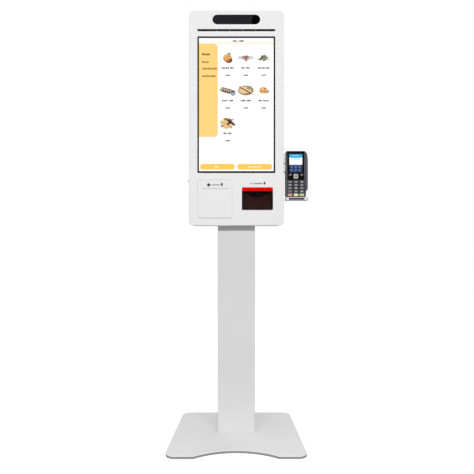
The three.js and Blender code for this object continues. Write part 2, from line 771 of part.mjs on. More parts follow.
function makeTerminalHolder() {
  const { left, right, bottom, top, front, back } = CRADLE;
  const lip = slab(
    "Z",
    roundedOutline(left, right, front, back, 5),
    bottom,
    top,
  );
  const slot = block(CARD_SLOT.left, CARD_SLOT.right, front - 1, CARD_SLOT.back, CARD_SLOT.bottom, CARD_SLOT.top);
  const rest = block(182, 248, TERMINAL.back + GAP, back, top - 1, 1040);
  addNode("terminal_cradle", join(cut(lip, slot), rest), CRADLE_GREY);

  const b = BRACKET;
  const plate = block(b.left, b.right, b.front, b.back, b.bottom, b.top);
  const leg = block(b.left, b.left + 2.5, -90, b.back, b.bottom, b.top);
  const slotHole = slab("Y", roundedOutline(174.5, 181, 1001.6, 1012, 3.2), b.front - 1, b.back + 1);
  addNode("terminal_bracket", cut(join(plate, leg), slotHole), CRADLE_GREY);
}

makeBaseAndColumn();
makePowerEntry();
makeHeadShell();
makeScreenAndWindows();
makeElectronics();
makePrinterDoor();
makePrinter();
makeScanner();
makeLock();
const terminalKeys = keyList();
makeTerminalShells(terminalKeys);
makeTerminalInside(terminalKeys);
makeTerminalHolder();

export default kiosk;
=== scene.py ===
"""Self checkout kiosk: finished surfaces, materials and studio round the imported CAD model.

The file is laid out as an add-on: sizes and colours are properties, and each piece or group of like
pieces has an operator. Shapes are worked out in millimetres in the CAD frame and stored in metres.
"""
import json
import math

import bmesh
import bpy
import numpy as np
from mathutils import Matrix, Vector
from mathutils.geometry import tessellate_polygon

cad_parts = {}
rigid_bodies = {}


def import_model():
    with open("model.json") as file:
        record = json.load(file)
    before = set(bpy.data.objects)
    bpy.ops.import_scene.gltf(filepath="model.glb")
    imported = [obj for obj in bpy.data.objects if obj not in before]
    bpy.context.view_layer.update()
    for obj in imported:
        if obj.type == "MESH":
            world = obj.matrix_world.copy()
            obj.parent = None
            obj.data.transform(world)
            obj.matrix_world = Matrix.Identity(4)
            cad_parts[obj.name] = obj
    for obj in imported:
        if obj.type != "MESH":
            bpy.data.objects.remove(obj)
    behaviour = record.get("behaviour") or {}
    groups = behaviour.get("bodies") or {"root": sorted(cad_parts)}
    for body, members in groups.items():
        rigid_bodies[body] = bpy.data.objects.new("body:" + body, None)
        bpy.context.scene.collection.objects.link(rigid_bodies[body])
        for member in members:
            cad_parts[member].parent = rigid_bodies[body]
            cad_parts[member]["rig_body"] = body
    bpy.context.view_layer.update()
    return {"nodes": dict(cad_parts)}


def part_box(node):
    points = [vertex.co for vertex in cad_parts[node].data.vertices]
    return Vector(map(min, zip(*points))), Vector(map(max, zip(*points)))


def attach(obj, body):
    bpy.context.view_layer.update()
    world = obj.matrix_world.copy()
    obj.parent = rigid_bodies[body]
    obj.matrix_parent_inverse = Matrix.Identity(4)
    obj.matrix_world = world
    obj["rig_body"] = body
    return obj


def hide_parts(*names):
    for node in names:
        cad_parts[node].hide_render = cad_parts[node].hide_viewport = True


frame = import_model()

bl_info = {
    "name": "Self checkout kiosk",
    "version": (1, 0, 0),
    "blender": (4, 5, 0),
    "location": "3D View > Sidebar > Kiosk",
    "description": "Builds the finished pieces of a self checkout kiosk round its CAD frame",
    "category": "Add Mesh",
}

MM = 0.001
MERGE = 1e-6  # metres between points that are one point
FLAT_ANGLE = math.radians(1)
SHARP_ANGLE = math.radians(33)
PLANE_ORDER = {"X": (2, 0, 1), "Y": (0, 2, 1), "Z": (0, 1, 2)}  # (u, v, level) to x, y, z


def linear(red, green, blue):
    """A display colour from 0 to 255 as the linear values that shaders use."""
    share = np.array((red, green, blue)) / 255
    return tuple(np.where(share <= 0.04045, share / 12.92, ((share + 0.055) / 1.055) ** 2.4))


def opaque(red, green, blue):
    """A display colour as linear red, green, blue and full alpha."""
    return (*linear(red, green, blue), 1.0)


def box_of(node):
    """Lowest and highest corner of a CAD node, in millimetres."""
    low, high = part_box(node)
    return np.array(low) / MM, np.array(high) / MM


# ---- Properties ----


def length(name, description, millimetres):
    return bpy.props.FloatProperty(
        name=name, description=description, default=millimetres * MM, min=0, unit="LENGTH", precision=5
    )


def colour(name, description, *display):
    return bpy.props.FloatVectorProperty(
        name=name, description=description, default=linear(*display), size=3, min=0, max=1, subtype="COLOR"
    )


class KioskSizes(bpy.types.PropertyGroup):
    """Sizes that finish the CAD shapes."""

    panel_reach: length("Panel edge reach", "How far the head's rounded front edge reaches in", 2.8)
    panel_depth: length("Panel edge depth", "How deep the head's rounded front edge is", 1.8)
    tray_bend: length("Tray bend", "Outer bend radius at the back of the head", 3.0)
    base_edge: length("Base edge", "Rounding of the base plate's top edge", 2.2)
    sheet_edge: length("Sheet edge", "Rounding of cut sheet-metal edges", 0.4)
    terminal_edge: length("Terminal edge", "Rounding of the payment terminal's front edge", 4.0)
    key_crown: length("Key crown", "How far the middle of a key stands above its edge", 1.1)


class KioskColours(bpy.types.PropertyGroup):
    """Colours of the finishes."""

    white_paint: colour("White paint", "Head and base powder coat", 241, 241, 241)
    column_paint: colour("Column paint", "Column powder coat", 233, 233, 233)
    # painted shade: a grey for the base plate's sides, standing in for the shade on its front and side
    # faces
    edge_band: colour("Painted edge shade", "Painted shade on the base plate's sides", 158, 158, 160)
    dark_plastic: colour("Dark plastic", "Moulded parts and windows", 36, 36, 40)
    maroon_plastic: colour("Maroon plastic", "Inside of the scanner hood", 88, 52, 51)
    terminal_grey: colour("Terminal grey", "Payment terminal shells", 88, 88, 93)
    cradle_grey: colour("Cradle grey", "Terminal cradle and bracket", 226, 226, 230)
    key_grey: colour("Key grey", "Number keys", 112, 113, 120)
    key_light: colour("Light key", "Square key in the middle", 192, 192, 184)
    key_red: colour("Red key", "Cancel key", 228, 168, 148)
    key_yellow: colour("Yellow key", "Clear key", 238, 238, 198)
    key_green: colour("Green key", "Enter key", 202, 224, 170)
    menu_key: colour("Menu keys", "Two small keys beside the square one", 118, 106, 108)
    scan_red: colour("Scanner red", "Light bar of the scanner", 232, 0, 0)


def sizes():
    return bpy.context.scene.kiosk_sizes


def tint(name):
    """A colour property as red, green, blue and alpha."""
    return (*getattr(bpy.context.scene.kiosk_colours, name), 1.0)


# ---- Outlines: arrays of (u, v) points, anticlockwise ----


def arc(centre, radius, start, end, steps):
    """Points centre + radius (cos a, sin a), for the angle a running evenly from start to end."""
    angle = np.linspace(start, end, steps + 1)
    return np.column_stack((centre[0] + radius * np.cos(angle), centre[1] + radius * np.sin(angle)))


def rounded(left, right, bottom, top, radius, steps):
    """A rectangle with a quarter circle of the radius at each corner."""
    quarter = math.pi / 2
    east, west, south, north = right - radius, left + radius, bottom + radius, top - radius
    corners = ((east, south), (east, north), (west, north), (west, south))
    return np.vstack([arc(c, radius, (k - 1) * quarter, k * quarter, steps) for k, c in enumerate(corners)])


def ring(u, v, radius, sides=32):
    """A circle as a closed outline."""
    return arc((u, v), radius, 0, 2 * math.pi, sides)[:-1]


def rotated(flat, turn):
    """Points turned about (0, 0) by an angle."""
    cosine, sine = math.cos(turn), math.sin(turn)
    return flat @ np.array([[cosine, sine], [-sine, cosine]])


def mitres(outline):
    """Each corner's outward mitre: the sum of its two edge normals, scaled so that a step along it
    moves both edges out by one."""
    edge = np.roll(outline, -1, 0) - outline
    edge = edge / np.linalg.norm(edge, axis=1, keepdims=True)
    normal = np.column_stack((edge[:, 1], -edge[:, 0]))
    both = normal + np.roll(normal, 1, 0)
    return both * 2 / (both**2).sum(1, keepdims=True)


def placed(axis, flat, level):
    """Outline points (u, v) at a level on an axis, as x, y, z."""
    level = np.broadcast_to(level, flat.shape[:-1] + (1,))
    return np.concatenate((flat, level), -1)[..., PLANE_ORDER[axis]]


def carried(outline, profile, axis, inwards=1):
    """A profile carried round an outline: ring k is the outline moved in along its mitres by
    profile[k][0], at level profile[k][1]."""
    insets, levels = np.array(profile, float).T
    flat = outline[None] - inwards * insets[:, None, None] * mitres(outline)[None]
    return placed(axis, flat, levels[:, None, None])


def wall(low, high, low_edge=(0.2, 0.2), high_edge=(0.2, 0.2), steps=4):
    """A wall's profile from one level to another, with a quarter ellipse (reach, depth) at each end."""
    turn = np.linspace(0, math.pi / 2, steps + 1)
    way = math.copysign(1, high - low)
    sine, cosine = 1 - np.sin(turn), 1 - np.cos(turn)
    start = np.column_stack((low_edge[0] * sine, low + way * low_edge[1] * cosine))
    end = np.column_stack((high_edge[0] * cosine, high - way * high_edge[1] * sine))
    return np.vstack((start, end))


# ---- Solids ----


class Solid:
    """Points in millimetres and the faces between them, gathered part by part."""

    def __init__(self):
        self.points = []
        self.faces = []
        self.count = 0

    def add(self, points, faces):
        points = np.asarray(points, float).reshape(-1, 3)
        self.points.append(points)
        self.faces += [[int(i) + self.count for i in face] for face in faces]
        self.count += len(points)
        return self

    def band(self, rings):
        """Quads between each closed ring and the next. Rings is an array (ring, point, xyz)."""
        count, sides = rings.shape[:2]
        grid = np.arange(count * sides).reshape(count, sides)
        turned_on = np.roll(grid, -1, 1)
        quads = np.stack((grid[:-1], turned_on[:-1], turned_on[1:], grid[1:]), -1)
        return self.add(rings, quads.reshape(-1, 4))

    def cap(self, loops, axis):
        """A flat face bounded by an outer loop and the loops of its holes."""
        u, v, _ = np.argsort(PLANE_ORDER[axis])
        flat = [[Vector((p[u], p[v], 0)) for p in loop] for loop in loops]
        return self.add(np.vstack(loops), tessellate_polygon(flat))

    def join(self, other):
        return self.add(np.vstack(other.points), other.faces)

    def build(self, name):
        """An object made of this solid."""
        return new_object(name, self.mesh(name))

    def mesh(self, name):
        """A mesh with its doubles merged and its faces turned outwards."""
        mesh = bpy.data.meshes.new(name)
        mesh.from_pydata((np.vstack(self.points) * MM).tolist(), [], self.faces, shade_flat=False)
        made = bmesh.new()
        made.from_mesh(mesh)
        bmesh.ops.remove_doubles(made, verts=made.verts, dist=MERGE)
        bmesh.ops.recalc_face_normals(made, faces=made.faces)
        made.to_mesh(mesh)
        made.free()
        return mesh


def slab(outline, profile, axis, holes=(), hole_profile=None):
    """An outline's profile with a flat face at its first and last ring, and holes through both faces.
    A hole's profile is moved out into the material."""
    solid = Solid()
    rings = carried(outline, profile, axis)
    solid.band(rings)
    inner = [carried(hole, profile if hole_profile is None else hole_profile, axis, -1) for hole in holes]
    for hole in inner:
        solid.band(hole)
    for end in (0, -1):
        solid.cap([rings[end]] + [hole[end] for hole in inner], axis)
    return solid


def crowned(box, radius, profile, axis):
    """A rounded rectangle carried through a profile of (inset, level), its corner radius shrinking
    with the inset so that the rings never cross. It ends in a flat face."""
    left, right, bottom, top = box
    loops = [
        rounded(left + i, right - i, bottom + i, top - i, max(radius - i, 0.12), 5) for i, _ in profile
    ]
    levels = np.array([level for _, level in profile])
    rings = placed(axis, np.array(loops), levels[:, None, None])
    return Solid().band(rings).cap([rings[0]], axis).cap([rings[-1]], axis)


def turned(profile, axis, centre, sides=48):
    """A profile of (radius, level) turned about an axis: centre + radius (cos a, sin a) at level."""
    radii, levels = np.array(profile, float).T
    flat = np.array(centre) + radii[:, None, None] * ring(0, 0, 1, sides)[None]
    return Solid().band(placed(axis, flat, levels[:, None, None]))


def rod(start, end, radius, chamfer, axis, centre, sides=48):
    """A round bar between two levels, its ends chamfered by (reach, depth)."""
    reach, depth = chamfer
    profile = [(0, start), (radius - reach, start), (radius, start + depth), (radius, end - depth)]
    return turned(profile + [(radius - reach, end), (0, end)], axis, centre, sides)


def block(low, high, ease=0.3):
    """A block between two corners, as a slab along Z with rounded edges."""
    outline = rounded(low[0], high[0], low[1], high[1], ease, 2)
    return slab(outline, wall(low[2], high[2], (ease, ease), (ease, ease), 2), "Z")


def strip(path, width, thickness, start):
    """A ribbon of a thickness carried along a path of (y, z) points, and wide along X from start."""
    along = np.gradient(path, axis=0)
    along /= np.linalg.norm(along, axis=1, keepdims=True)
    side = np.column_stack((-along[:, 1], along[:, 0])) * thickness / 2
    outline = np.vstack((path + side, (path - side)[::-1]))
    solid = Solid()
    rings = placed("X", np.stack((outline, outline)), np.array([start, start + width])[:, None, None])
    solid.band(rings)
    half = len(path)
    for end in rings:
        quads = [[i, i + 1, 2 * half - 2 - i, 2 * half - 1 - i] for i in range(half - 1)]
        solid.add(end, quads)
    return solid


# ---- Objects ----


def new_object(name, mesh):
    made = bpy.data.objects.new(name, mesh)
    bpy.context.scene.collection.objects.link(made)
    return made


def evaluated_mesh(made):
    """The object's mesh with its modifiers worked in."""
    graph = bpy.context.evaluated_depsgraph_get()
    return bpy.data.meshes.new_from_object(made.evaluated_get(graph))


def cut_away(made, cutters, operation="DIFFERENCE"):
    """Cuts solids out of an object's mesh, or joins them to it, one after another."""
    for cutter in cutters:
        tool = cutter.build("cutter")
        step = made.modifiers.new("cut", "BOOLEAN")
        step.operation = operation
        step.solver = "EXACT"
        step.object = tool
        bpy.context.view_layer.update()
        made.data = evaluated_mesh(made)
        made.modifiers.clear()
        bpy.data.objects.remove(tool)
    return made


def smooth(made, ease):
    """Smooth shading that keeps flat faces flat, with sharp edges rounded by ease millimetres."""
    made.data.shade_smooth()
    made.data.set_sharp_from_angle(angle=SHARP_ANGLE)
    if ease:
        bevel = made.modifiers.new("eased edges", "BEVEL")
        bevel.width = ease * MM
        bevel.segments = 2
        bevel.limit_method = "ANGLE"
        bevel.angle_limit = SHARP_ANGLE
        bevel.use_clamp_overlap = False
        bevel.loop_slide = False
        bevel.miter_outer = "MITER_ARC"
    weighted = made.modifiers.new("flat faces stay flat", "WEIGHTED_NORMAL")
    weighted.keep_sharp = not ease
    return made


def middle_of(node):
    low, high = box_of(node)
    return (low + high) / 2


def body_of(node):
    return frame["nodes"][node]["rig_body"]


def settle(made, look, nodes=(), body="kiosk", ease=0.0):
    """Finishes a piece: its finish, its body and the CAD nodes it stands for. A piece
    that stands for a node rides that node's body."""
    made.data.materials.clear()
    made.data.materials.append(finish(look))
    smooth(made, ease)
    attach(made, body_of(nodes[0]) if nodes else body)
    if nodes:
        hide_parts(*nodes)
    return made


def piece(name, solid, look, nodes=(), body="kiosk"):
    return settle(solid.build(name), look, nodes, body)


def eased(node, look, ease=0.3):
    """A piece with a CAD node's own shape: doubles merged, flat faces joined, sharp edges rounded."""
    made = bmesh.new()
    made.from_mesh(frame["nodes"][node].data)
    bmesh.ops.remove_doubles(made, verts=made.verts, dist=MERGE)
    bmesh.ops.dissolve_limit(made, angle_limit=FLAT_ANGLE, verts=made.verts, edges=made.edges)
    mesh = bpy.data.meshes.new(node + "_shape")
    made.to_mesh(mesh)
    made.free()
    return settle(new_object(node + "_shape", mesh), look, [node], ease=ease)


def screw(axis, seat, way, radius):
    """A pan-head screw on the axis and the two bars of its cross recess. Its seat is at a level, and its
    head stands way from it."""
    height = radius * 0.62
    turn = np.linspace(0, math.pi / 2, 6)
    dome = [(radius * math.cos(t) ** 0.55, seat + way * height * math.sin(t)) for t in turn]
    profile = [(0, seat - way * 1.2), (radius * 0.8, seat - way * 1.2), (radius, seat), *dome[:-1]]
    profile += [(0, seat + way * height)]
    arm, slot = radius * 0.55, radius * 0.12
    depth = wall(seat + way * height * 0.35, seat + way * (height + 1))
    bars = [slab(rounded(-u, u, -v, v, slot * 0.9, 2), depth, axis) for u, v in ((arm, slot), (slot, arm))]
    return turned(profile, axis, (0, 0), 24), bars


def screws(name, places, axis, seat, way, radius):
    """A set of like screws as one piece."""
    head, bars = screw(axis, seat, way, radius)
    pattern = cut_away(head.build("pattern"), bars)
    points = np.array([v.co for v in pattern.data.vertices]) / MM
    faces = [list(p.vertices) for p in pattern.data.polygons]
    bpy.data.objects.remove(pattern)
    solid = Solid()
    for u, v in places:
        solid.add(points + placed(axis, np.array([[u, v]], float), 0), faces)
    return piece(name, solid, "zinc")


# ---- Node helpers ----


def feed(tree, node, sockets):
    """Sets a node's inputs, each to a value or to the output that feeds it."""
    for key, value in sockets.items():
        if isinstance(value, bpy.types.NodeSocket):
            tree.links.new(value, node.inputs[key])
        else:
            node.inputs[key].default_value = value
    return node


def put(tree, kind, sockets=None, **settings):
    """Adds a node with its own settings, and feeds its inputs."""
    node = tree.nodes.new(kind)
    for key, value in settings.items():
        setattr(node, key, value)
    return feed(tree, node, sockets or {})


def mixed(tree, factor, first, second):
    """The colour between two colours, by a factor."""
    node = put(tree, "ShaderNodeMix", {0: factor, 6: first, 7: second}, data_type="RGBA")
    return node.outputs[2]


def between(tree, value, low, high, to_low, to_high):
    """A value carried from one range to another and held at its ends."""
    sockets = {"Value": value, "From Min": low, "From Max": high, "To Min": to_low, "To Max": to_high}
    return put(tree, "ShaderNodeMapRange", sockets).outputs["Result"]


def calculated(tree, operation, first, second=0.0):
    return put(tree, "ShaderNodeMath", {0: first, 1: second}, operation=operation).outputs[0]


def object_point(tree):
    return put(tree, "ShaderNodeTexCoord").outputs["Object"]


def place_of(tree):
    """The object point's X, Y and Z."""
    return put(tree, "ShaderNodeSeparateXYZ", {0: object_point(tree)}).outputs


def noise(tree, vector, scale, detail, distortion=0.0):
    sockets = {"Vector": vector, "Scale": scale, "Detail": detail, "Distortion": distortion}
    return put(tree, "ShaderNodeTexNoise", sockets).outputs["Fac"]


def bumped(tree, height, strength, distance=0.2):
    """The normal of a surface raised by a height, at most distance millimetres."""
    sockets = {"Height": height, "Strength": strength, "Distance": distance * MM}
    return put(tree, "ShaderNodeBump", sockets).outputs["Normal"]


def shifted(tree, vector, location=(0, 0, 0), scale=(1, 1, 1)):
    sockets = {"Vector": vector, "Location": location, "Scale": scale}
    return put(tree, "ShaderNodeMapping", sockets).outputs["Vector"]


def new_group(name, inputs, outputs):
    """An empty node group with named inputs (name, kind, default) and named outputs (name, kind)."""
    tree = bpy.data.node_groups.new(name, "ShaderNodeTree")
    for label, kind, default in inputs:
        socket = tree.interface.new_socket(name=label, in_out="INPUT", socket_type=kind)
        socket.default_value = default
    for label, kind in outputs:
        tree.interface.new_socket(name=label, in_out="OUTPUT", socket_type=kind)
    return tree, tree.nodes.new("NodeGroupInput").outputs, tree.nodes.new("NodeGroupOutput").inputs


def surface_grain():
    """Fine noise for bumps and broad noise for slow changes of tone."""
    inputs = [
        ("Vector", "NodeSocketVector", (0, 0, 0)),
        ("Fine Scale", "NodeSocketFloat", 900.0),
        ("Broad Scale", "NodeSocketFloat", 6.0),
    ]
    outputs = [("Height", "NodeSocketFloat"), ("Tone", "NodeSocketFloat")]
    tree, given, result = new_group("surface grain", inputs, outputs)
    fine = noise(tree, given["Vector"], given["Fine Scale"], 2.0)
    broad = noise(tree, given["Vector"], given["Broad Scale"], 3.0)
    tree.links.new(fine, result["Height"])
    tree.links.new(between(tree, broad, 0.3, 0.7, 0.0, 1.0), result["Tone"])
    return tree


def handled_glass():
    """Faint smears left by hands on glass: patches of noise, seen only where they are strong."""
    inputs = [("Vector", "NodeSocketVector", (0, 0, 0)), ("Scale", "NodeSocketFloat", 14.0)]
    tree, given, result = new_group("handled glass", inputs, [("Smear", "NodeSocketFloat")])
    warp = noise(tree, given["Vector"], given["Scale"], 5.0, 1.2)
    tree.links.new(between(tree, warp, 0.55, 0.8, 0.0, 1.0), result["Smear"])
    return tree


def group_node(tree, build, sockets):
    """A placed node group, built once."""
    name = build.__name__.replace("_", " ")
    made = bpy.data.node_groups.get(name) or build()
    return put(tree, "ShaderNodeGroup", sockets, node_tree=made).outputs


# ---- Materials ----


def blank(name):
    """A new material, its tree and its Principled shader."""
    material = bpy.data.materials.new(name)
    material.use_nodes = True
    tree = material.node_tree
    return material, tree, tree.nodes["Principled BSDF"]


def coated(name, base, rough, fine, bump, vary, metal=0.0, stretch=(1, 1, 1), level=0.5):
    """A finish with a fine bumpy grain, and a slow change of its tone and gloss."""
    material, tree, shader = blank(name)
    vector = shifted(tree, object_point(tree), scale=stretch)
    grain = group_node(tree, surface_grain, {"Vector": vector, "Fine Scale": fine})
    dark = tuple(c * (1 - vary) for c in base[:3]) + (1.0,)
    light = tuple(min(1.0, c * (1 + vary)) for c in base[:3]) + (1.0,)
    sockets = {
        "Base Color": mixed(tree, grain["Tone"], dark, light),
        "Roughness": between(tree, grain["Tone"], 0.0, 1.0, rough - 0.04, rough + 0.04),
        "Normal": bumped(tree, grain["Height"], bump),
        "Metallic": metal,
        "Specular IOR Level": level,
    }
    feed(tree, shader, sockets)
    return material


KEY_COLOURS = ("key_grey", "key_light", "key_red", "key_yellow", "key_green", "menu_key")


def coatings():
    """The plain finishes: material name, colour, roughness, scale of the grain, bump and change of tone,
    then metal, stretch of the grain and specular level where they matter."""
    even, brushed = (1, 1, 1), (1, 30, 30)
    table = {
        "white paint": ("white powder coat", tint("white_paint"), 0.46, 1400.0, 0.16, 0.008),
        "column paint": ("column powder coat", tint("column_paint"), 0.5, 1400.0, 0.16, 0.01),
        "bracket paint": ("bracket powder coat", opaque(244, 244, 247), 0.5, 1400.0, 0.16, 0.01),
        "dark plastic": ("dark moulded plastic", tint("dark_plastic"), 0.42, 2200.0, 0.25, 0.12),
        "cradle grey": ("cradle grey plastic", tint("cradle_grey"), 0.42, 2600.0, 0.25, 0.03),
        "rail plastic": ("rail plastic", opaque(112, 112, 118), 0.34, 2600.0, 0.3, 0.05),
        "bar plastic": ("smoked bar plastic", opaque(32, 32, 36), 0.2, 2600.0, 0.05, 0.2, 0.0, even, 0.25),
        "bar rib": ("bar rib plastic", opaque(118, 118, 124), 0.3, 2600.0, 0.05, 0.1),
        "switch red": ("red switch plastic", opaque(190, 24, 20), 0.25, 2600.0, 0.1, 0.08),
        "black ink": ("black printed ink", (0.004, 0.004, 0.005), 0.6, 3000.0, 0.05, 0.2, 0.0, even, 0.08),
        # painted shade: the dark film in the gaps between the terminal's keys
        "keypad ink": ("dark keypad ink", opaque(44, 43, 48), 0.5, 3000.0, 0.1, 0.12),
        "label ink": ("grey label ink", opaque(72, 72, 74), 0.6, 3000.0, 0.05, 0.1),
        "pale ink": ("pale legend ink", opaque(236, 236, 236), 0.6, 3000.0, 0.05, 0.04),
        "steel": ("brushed steel", (0.47, 0.48, 0.49), 0.34, 500.0, 0.12, 0.1, 1.0, brushed),
        "zinc": ("zinc plated screws", (0.55, 0.56, 0.58), 0.3, 900.0, 0.08, 0.12, 1.0),
        "chrome": ("satin chrome", (0.52, 0.53, 0.54), 0.22, 1200.0, 0.04, 0.06, 1.0),
        "rubber": ("black rubber", (0.018, 0.018, 0.019), 0.78, 1800.0, 0.5, 0.2),
        # painted shade: the grey ring round the base plate's sides
        "edge band": ("grey edge rubber", tint("edge_band"), 0.7, 1800.0, 0.35, 0.05),
        "paper": ("thermal paper", (0.86, 0.85, 0.81), 0.85, 2600.0, 0.25, 0.03),
        "cardboard": ("brown cardboard", opaque(158, 120, 82), 0.9, 1500.0, 0.5, 0.12),
    }
    for name in KEY_COLOURS:
        table[name] = (name.replace("_", " ") + " plastic", tint(name), 0.34, 3000.0, 0.2, 0.04)
    return table


def terminal_grey():
    """Terminal plastic, nearly black round the top of the lens."""
    material = coated("terminal grey plastic", tint("terminal_grey"), 0.36, 2600.0, 0.3, 0.05)
    tree = material.node_tree
    shader = tree.nodes["Principled BSDF"]
    plain = shader.inputs["Base Color"].links[0].from_socket
    dark = between(tree, place_of(tree)["Z"], 1.0455, 1.0490, 0.0, 1.0)
    feed(tree, shader, {"Base Color": mixed(tree, dark, plain, opaque(46, 44, 48))})
    return material


def slot_dark():
    """The card slot's brush strip: dark blue bristles that turn purple to the right."""
    material, tree, shader = blank("card slot brush")
    share = between(tree, place_of(tree)["X"], 0.200, 0.236, 0.0, 1.0)
    tone = mixed(tree, share, opaque(34, 40, 76), opaque(72, 36, 70))
    upright = shifted(tree, object_point(tree), scale=(4, 1, 0.2))
    bristle = group_node(tree, surface_grain, {"Vector": upright})["Height"]
    shadow = between(tree, bristle, 0.3, 0.7, 0.0, 0.5)
    sockets = {
        "Base Color": mixed(tree, shadow, tone, (0.004, 0.004, 0.01, 1)),
        "Normal": bumped(tree, bristle, 0.5),
        "Roughness": 0.8,
    }
    feed(tree, shader, sockets)
    return material


def maroon_plastic():
    """Dark red plastic, with painted shade that turns it nearly black towards the sides of the scanner's
    hood.
    """
    material, tree, shader = blank("maroon plastic")
    middle = middle_of("scanner_hood")[0] * MM
    off = calculated(tree, "ABSOLUTE", calculated(tree, "SUBTRACT", place_of(tree)["X"], middle))
    # painted shade: the colour darkens to a near-black grey towards the hood's sides
    shade = between(tree, off, 0.034, 0.056, 0.0, 1.0)
    grain = group_node(tree, surface_grain, {"Vector": object_point(tree), "Fine Scale": 2200.0})
    body = mixed(tree, grain["Tone"], tint("maroon_plastic"), opaque(80, 48, 46))
    sockets = {
        "Base Color": mixed(tree, shade, body, opaque(56, 52, 49)),
        "Normal": bumped(tree, grain["Height"], 0.2),
        "Roughness": 0.55,
        "Specular IOR Level": 0.2,
    }
    feed(tree, shader, sockets)
    return material


def camera_glass():
    """Smoked glass, clear black over the lens at its right end, past a slanting line."""
    material, tree, shader = blank("camera window glass")
    place = place_of(tree)
    middle = middle_of("camera_window")[2] * MM
    lean = calculated(tree, "MULTIPLY", calculated(tree, "SUBTRACT", place["Z"], middle), 0.22)
    across = calculated(tree, "SUBTRACT", place["X"], lean)
    edge = between(tree, across, 0.0558, 0.0570, 0.0, 1.0)
    smear = group_node(tree, handled_glass, {"Vector": object_point(tree), "Scale": 20.0})["Smear"]
    smoked = mixed(tree, smear, opaque(36, 36, 38), opaque(41, 41, 43))
    sockets = {
        "Base Color": mixed(tree, edge, smoked, (0.0006, 0.0006, 0.0008, 1)),
        "Roughness": between(tree, smear, 0.0, 1.0, 0.05, 0.12),
        "Specular IOR Level": 0.04,
    }
    feed(tree, shader, sockets)
    return material


def clear_glass(name, index, smear_scale=12.0):
    """Clear glass, a little rougher where hands have touched it."""
    material, tree, shader = blank(name)
    smear = group_node(tree, handled_glass, {"Vector": object_point(tree), "Scale": smear_scale})["Smear"]
    sockets = {
        "Roughness": between(tree, smear, 0.0, 1.0, 0.0, 0.018),
        "Base Color": (1, 1, 1, 1),
        "Transmission Weight": 1.0,
        "IOR": index,
    }
    feed(tree, shader, sockets)
    return material


def touch_glass():
    return clear_glass("touch screen glass", 1.3)


def scanner_glass():
    return clear_glass("coated scanner glass", 1.16)


def terminal_glass():
    return clear_glass("terminal lens glass", 1.2, 30.0)


def lit_picture():
    """A lit display: the picture's own colours glow, very slightly uneven."""
    material, tree, shader = blank("lit picture")
    ink = put(tree, "ShaderNodeAttribute", attribute_name="ink").outputs["Color"]
    grain = group_node(tree, surface_grain, {"Vector": object_point(tree), "Fine Scale": 3000.0})
    share = between(tree, grain["Tone"], 0.0, 1.0, 0.0, 0.015)
    sockets = {
        "Emission Color": mixed(tree, share, ink, (0.9, 0.9, 0.9, 1)),
        "Emission Strength": 1.06,
        "Base Color": (0.01, 0.01, 0.01, 1),
        "Roughness": 0.5,
        "Specular IOR Level": 0.0,
    }
    feed(tree, shader, sockets)
    return material


def red_light():
    """A red diffuser lit from behind, a little brighter in spots above its lamps."""
    material, tree, shader = blank("lit red diffuser")
    lamp_pitch = 13.9 * MM
    turn = calculated(tree, "MULTIPLY", place_of(tree)["X"], 2 * math.pi / lamp_pitch)
    spot = between(tree, calculated(tree, "SINE", turn), -1.0, 1.0, 0.0, 1.0)
    red = tint("scan_red")
    sockets = {
        "Emission Color": mixed(tree, spot, (red[0] * 0.93, 0.0, 0.0, 1.0), red),
        "Emission Strength": 1.0,
        "Base Color": (0.06, 0.0, 0.0, 1),
        "Roughness": 0.6,
        "Specular IOR Level": 0.0,
    }
    feed(tree, shader, sockets)
    return material


def circuit_board():
    """Green board with patches of parallel tracks, upright or level, and small tinned pads."""
    material, tree, shader = blank("circuit board")
    point = object_point(tree)
    place = place_of(tree)
    pitch = 2 * math.pi / (2.2 * MM)
    lines = []
    for axis in ("X", "Z"):
        wave = calculated(tree, "SINE", calculated(tree, "MULTIPLY", place[axis], pitch))
        lines.append(between(tree, wave, 0.3, 0.6, 0.0, 1.0))
    size = (11 * MM, 1.0, 8 * MM)
    patch = put(tree, "ShaderNodeVectorMath", {0: point, 1: size}, operation="SNAP").outputs[0]
    chance = put(tree, "ShaderNodeTexWhiteNoise", {"Vector": patch}, noise_dimensions="3D").outputs["Value"]
    upright = calculated(tree, "MULTIPLY", lines[0], calculated(tree, "LESS_THAN", chance, 0.38))
    level = calculated(tree, "MULTIPLY", lines[1], calculated(tree, "GREATER_THAN", chance, 0.66))
    track = calculated(tree, "MAXIMUM", upright, level)
    board = mixed(tree, track, (0.010, 0.075, 0.028, 1), (0.026, 0.15, 0.06, 1))
    spots = put(tree, "ShaderNodeTexVoronoi", {"Vector": point, "Scale": 210.0}).outputs["Distance"]
    pad = between(tree, spots, 0.14, 0.18, 1.0, 0.0)
    sockets = {
        "Base Color": mixed(tree, pad, board, (0.42, 0.40, 0.34, 1)),
        "Roughness": between(tree, pad, 0.0, 1.0, 0.42, 0.28),
        "Metallic": pad,
    }
    feed(tree, shader, sockets)
    return material


def roll_paper():
    """Wound paper: fine rings round the roll's axis show on its ends."""
    material, tree, shader = blank("wound paper")
    centre = middle_of("paper_roll") * MM
    vector = shifted(tree, object_point(tree), location=(0, -centre[1], -centre[2]))
    wave = {"Vector": vector, "Scale": 700.0, "Distortion": 1.5, "Detail": 2.0}
    rings = put(tree, "ShaderNodeTexWave", wave, wave_type="RINGS", rings_direction="X").outputs["Fac"]
    sockets = {
        "Base Color": mixed(tree, rings, opaque(214, 210, 200), opaque(238, 235, 226)),
        "Normal": bumped(tree, rings, 0.3, 0.1),
        "Roughness": 0.85,
    }
    feed(tree, shader, sockets)
    return material


SPECIAL_FINISHES = (
    terminal_grey,
    slot_dark,
    maroon_plastic,
    camera_glass,
    touch_glass,
    scanner_glass,
    terminal_glass,
    lit_picture,
    red_light,
    circuit_board,
    roll_paper,
)
FINISHES = {}


